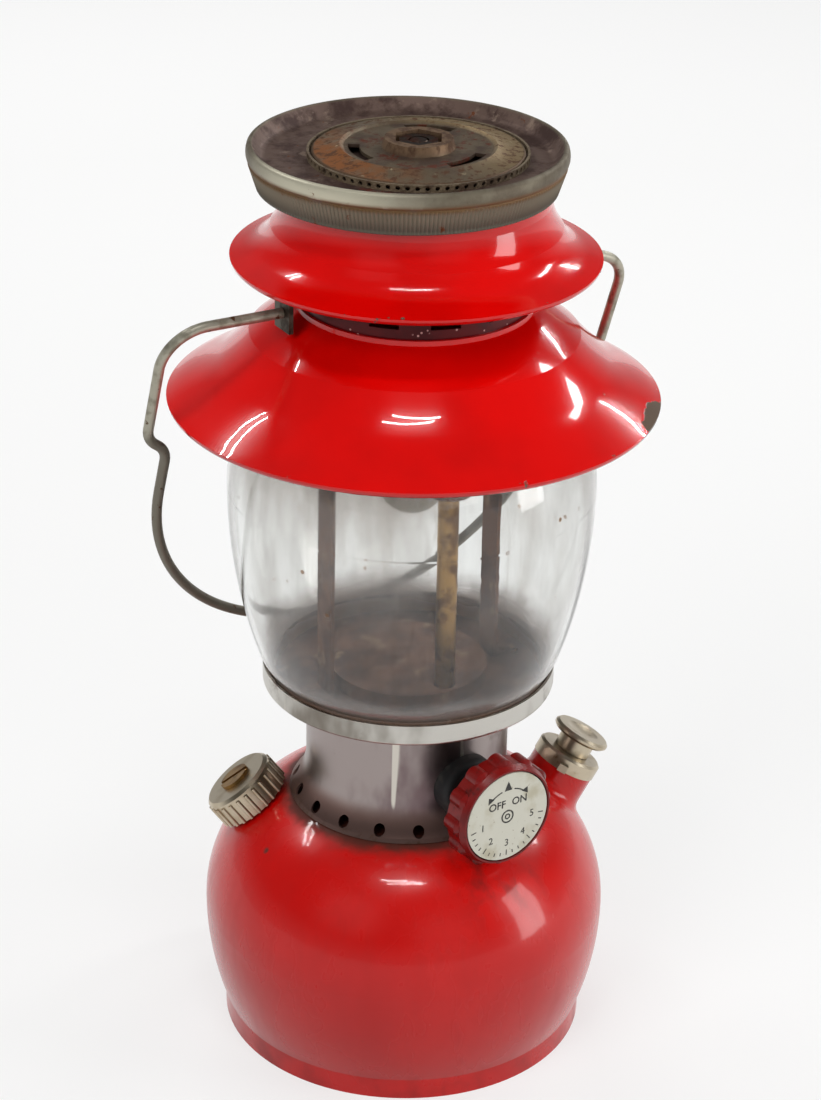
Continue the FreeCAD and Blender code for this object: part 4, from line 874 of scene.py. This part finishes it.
def screen_wire():
    finish = Finish("screen_sooty", paint(118, 104, 84), 0.55, metallic=0.4)
    finish.layer(finish.step(finish.noise(0.006, 4), 0.45, 0.65), paint(84, 68, 54), 0.65)
    finish.raise_by(finish.dots(0.0008), 0.0002)
    return finish.done()


coat(cap_steel(), "cap_body")
coat(screen_wire(), "cap_screen")


# Camera: a long lens, 27 degrees above the lantern's middle and 30 degrees to the left of its front.
# It is tipped down and rolled a little.

camera_place = Vector((-0.41165, -0.7130, 0.5634))
camera_azimuth = -30.0
camera_pitch = 25.8
camera_roll = 1.15
camera_lens = 96.0

camera_data = bpy.data.cameras.new("camera")
camera_data.lens = camera_lens
camera = bpy.data.objects.new("camera", camera_data)
bpy.context.scene.collection.objects.link(camera)
camera.matrix_world = (
    Matrix.Translation(camera_place)
    @ Matrix.Rotation(math.radians(camera_azimuth), 4, "Z")
    @ Matrix.Rotation(math.radians(90 - camera_pitch), 4, "X")
    @ Matrix.Rotation(math.radians(camera_roll), 4, "Z")
)
bpy.context.scene.camera = camera


# Studio: a pale floor that meets a pale backdrop far off, and soft lamps. What gloss mirrors is
# dimmer overhead. A white panel and a narrow window stand at the right, and three pairs of thin
# tubes hang above, one over the front and two at the back.

floor_half = 40.0
floor_colour = (0.28, 0.28, 0.2772, 1)
floor_glow = 0.64
far_floor_glow = 0.89
far_floor_from = 0.9
far_floor_at = 2.8
backdrop_level = 0.92
horizon_level = 0.55
overhead_level = 0.1
overhead_from = 0.3


def chosen_rays(tree, *kinds):
    """1 for light rays of these kinds and 0 for all others."""
    path = add_node(tree, "ShaderNodeLightPath")
    total = path.outputs[kinds[0]]
    for kind in kinds[1:]:
        inputs = {0: total, 1: path.outputs[kind]}
        total = add_node(tree, "ShaderNodeMath", inputs, operation="MAXIMUM").outputs[0]
    return total


def ramp(tree, value, start, end, level_from, level_at):
    """A level that goes evenly from one value to another between a start and an end."""
    inputs = {"Value": value, "From Min": start, "From Max": end, "To Min": level_from, "To Max": level_at}
    return add_node(tree, "ShaderNodeMapRange", inputs).outputs[0]


floor_paper = bpy.data.materials.new("floor_paper")
floor_paper.use_nodes = True
floor_tree = floor_paper.node_tree
floor_tree.nodes.clear()
floor_place = add_node(floor_tree, "ShaderNodeTexCoord").outputs["Object"]
floor_distance = add_node(floor_tree, "ShaderNodeVectorMath", {0: floor_place}, operation="LENGTH")
floor_level = ramp(
    floor_tree, floor_distance.outputs["Value"], far_floor_from, far_floor_at, floor_glow, far_floor_glow,
)
floor_seen = chosen_rays(floor_tree, "Is Camera Ray", "Is Glossy Ray", "Is Transmission Ray")
glow = add_node(floor_tree, "ShaderNodeEmission", {"Color": floor_level, "Strength": floor_seen})
matt = add_node(floor_tree, "ShaderNodeBsdfDiffuse", {"Color": floor_colour})
both = add_node(floor_tree, "ShaderNodeAddShader", {0: matt.outputs[0], 1: glow.outputs[0]})
add_node(floor_tree, "ShaderNodeOutputMaterial", {"Surface": both.outputs[0]})

floor_mesh = bpy.data.meshes.new("floor")
floor_form = bmesh.new()
bmesh.ops.create_grid(floor_form, x_segments=1, y_segments=1, size=floor_half)
floor_form.to_mesh(floor_mesh)
floor_form.free()
floor_mesh.materials.append(floor_paper)
floor = bpy.data.objects.new("floor", floor_mesh)
bpy.context.scene.collection.objects.link(floor)

world = bpy.data.worlds.new("studio")
bpy.context.scene.world = world
world.use_nodes = True
world_tree = world.node_tree
direction = add_node(world_tree, "ShaderNodeTexCoord").outputs["Generated"]
upward = add_node(world_tree, "ShaderNodeSeparateXYZ", {0: direction}).outputs["Z"]
mirrored_level = ramp(world_tree, upward, 0.0, overhead_from, horizon_level, overhead_level)
world_seen = chosen_rays(world_tree, "Is Camera Ray", "Is Transmission Ray")
world_level = add_node(world_tree, "ShaderNodeMix", {0: world_seen, 2: mirrored_level, 3: backdrop_level})
background = world_tree.nodes["Background"]
put(world_tree, background.inputs["Color"], (1, 1, 1, 1))
put(world_tree, background.inputs["Strength"], world_level.outputs[0])


def lamp(name, place, aim, width, height, power):
    """A flat soft lamp that looks from a place at an aim."""
    data = bpy.data.lights.new(name, "AREA")
    data.shape = "RECTANGLE"
    data.size = width
    data.size_y = height
    data.energy = power
    made = bpy.data.objects.new(name, data)
    bpy.context.scene.collection.objects.link(made)
    look = (Vector(aim) - Vector(place)).to_track_quat("-Z", "Y")
    made.matrix_world = Matrix.Translation(place) @ look.to_matrix().to_4x4()
    return made


tube_width = 0.012
tube_gap = Vector((0.030, -0.072, 0.0))


def ceiling_tubes(name, place, aim, length, power):
    """Two thin bright tubes side by side."""
    for part, side in (("front", 1), ("back", -1)):
        lamp(name + "_" + part, Vector(place) + tube_gap / 2 * side, aim, length, tube_width, power)


lantern_middle = (0, 0, 0.15)
ventilator_middle = (0, 0, 0.23)
# The last word of each row says whether gloss mirrors the lamp.
for name, place, aim, width, height, power, mirrored in (
    ("key_left", (-1.3, -0.6, 1.1), lantern_middle, 0.9, 0.9, 13, False),
    ("fill_front", (-0.1, -1.5, 0.7), lantern_middle, 0.9, 0.9, 5, False),
    ("panel_right", (1.0, -0.95, 0.45), lantern_middle, 0.45, 0.9, 8, True),
    ("window_right", (1.2, 0.0, 1.0), ventilator_middle, 0.12, 0.4, 4, True),
    ("rim_back", (0.3, 1.2, 0.9), lantern_middle, 0.8, 0.5, 7, False),
):
    lamp(name, place, aim, width, height, power).visible_glossy = mirrored
ceiling_tubes("tubes_middle", (-0.235, -0.40, 1.25), lantern_middle, 0.4, 1.4)
ceiling_tubes("tubes_left", (-0.40, 0.90, 1.20), lantern_middle, 0.5, 1.6)
ceiling_tubes("tubes_right", (1.10, 0.50, 0.85), lantern_middle, 0.4, 1.4)

bpy.context.scene.view_settings.view_transform = "Standard"
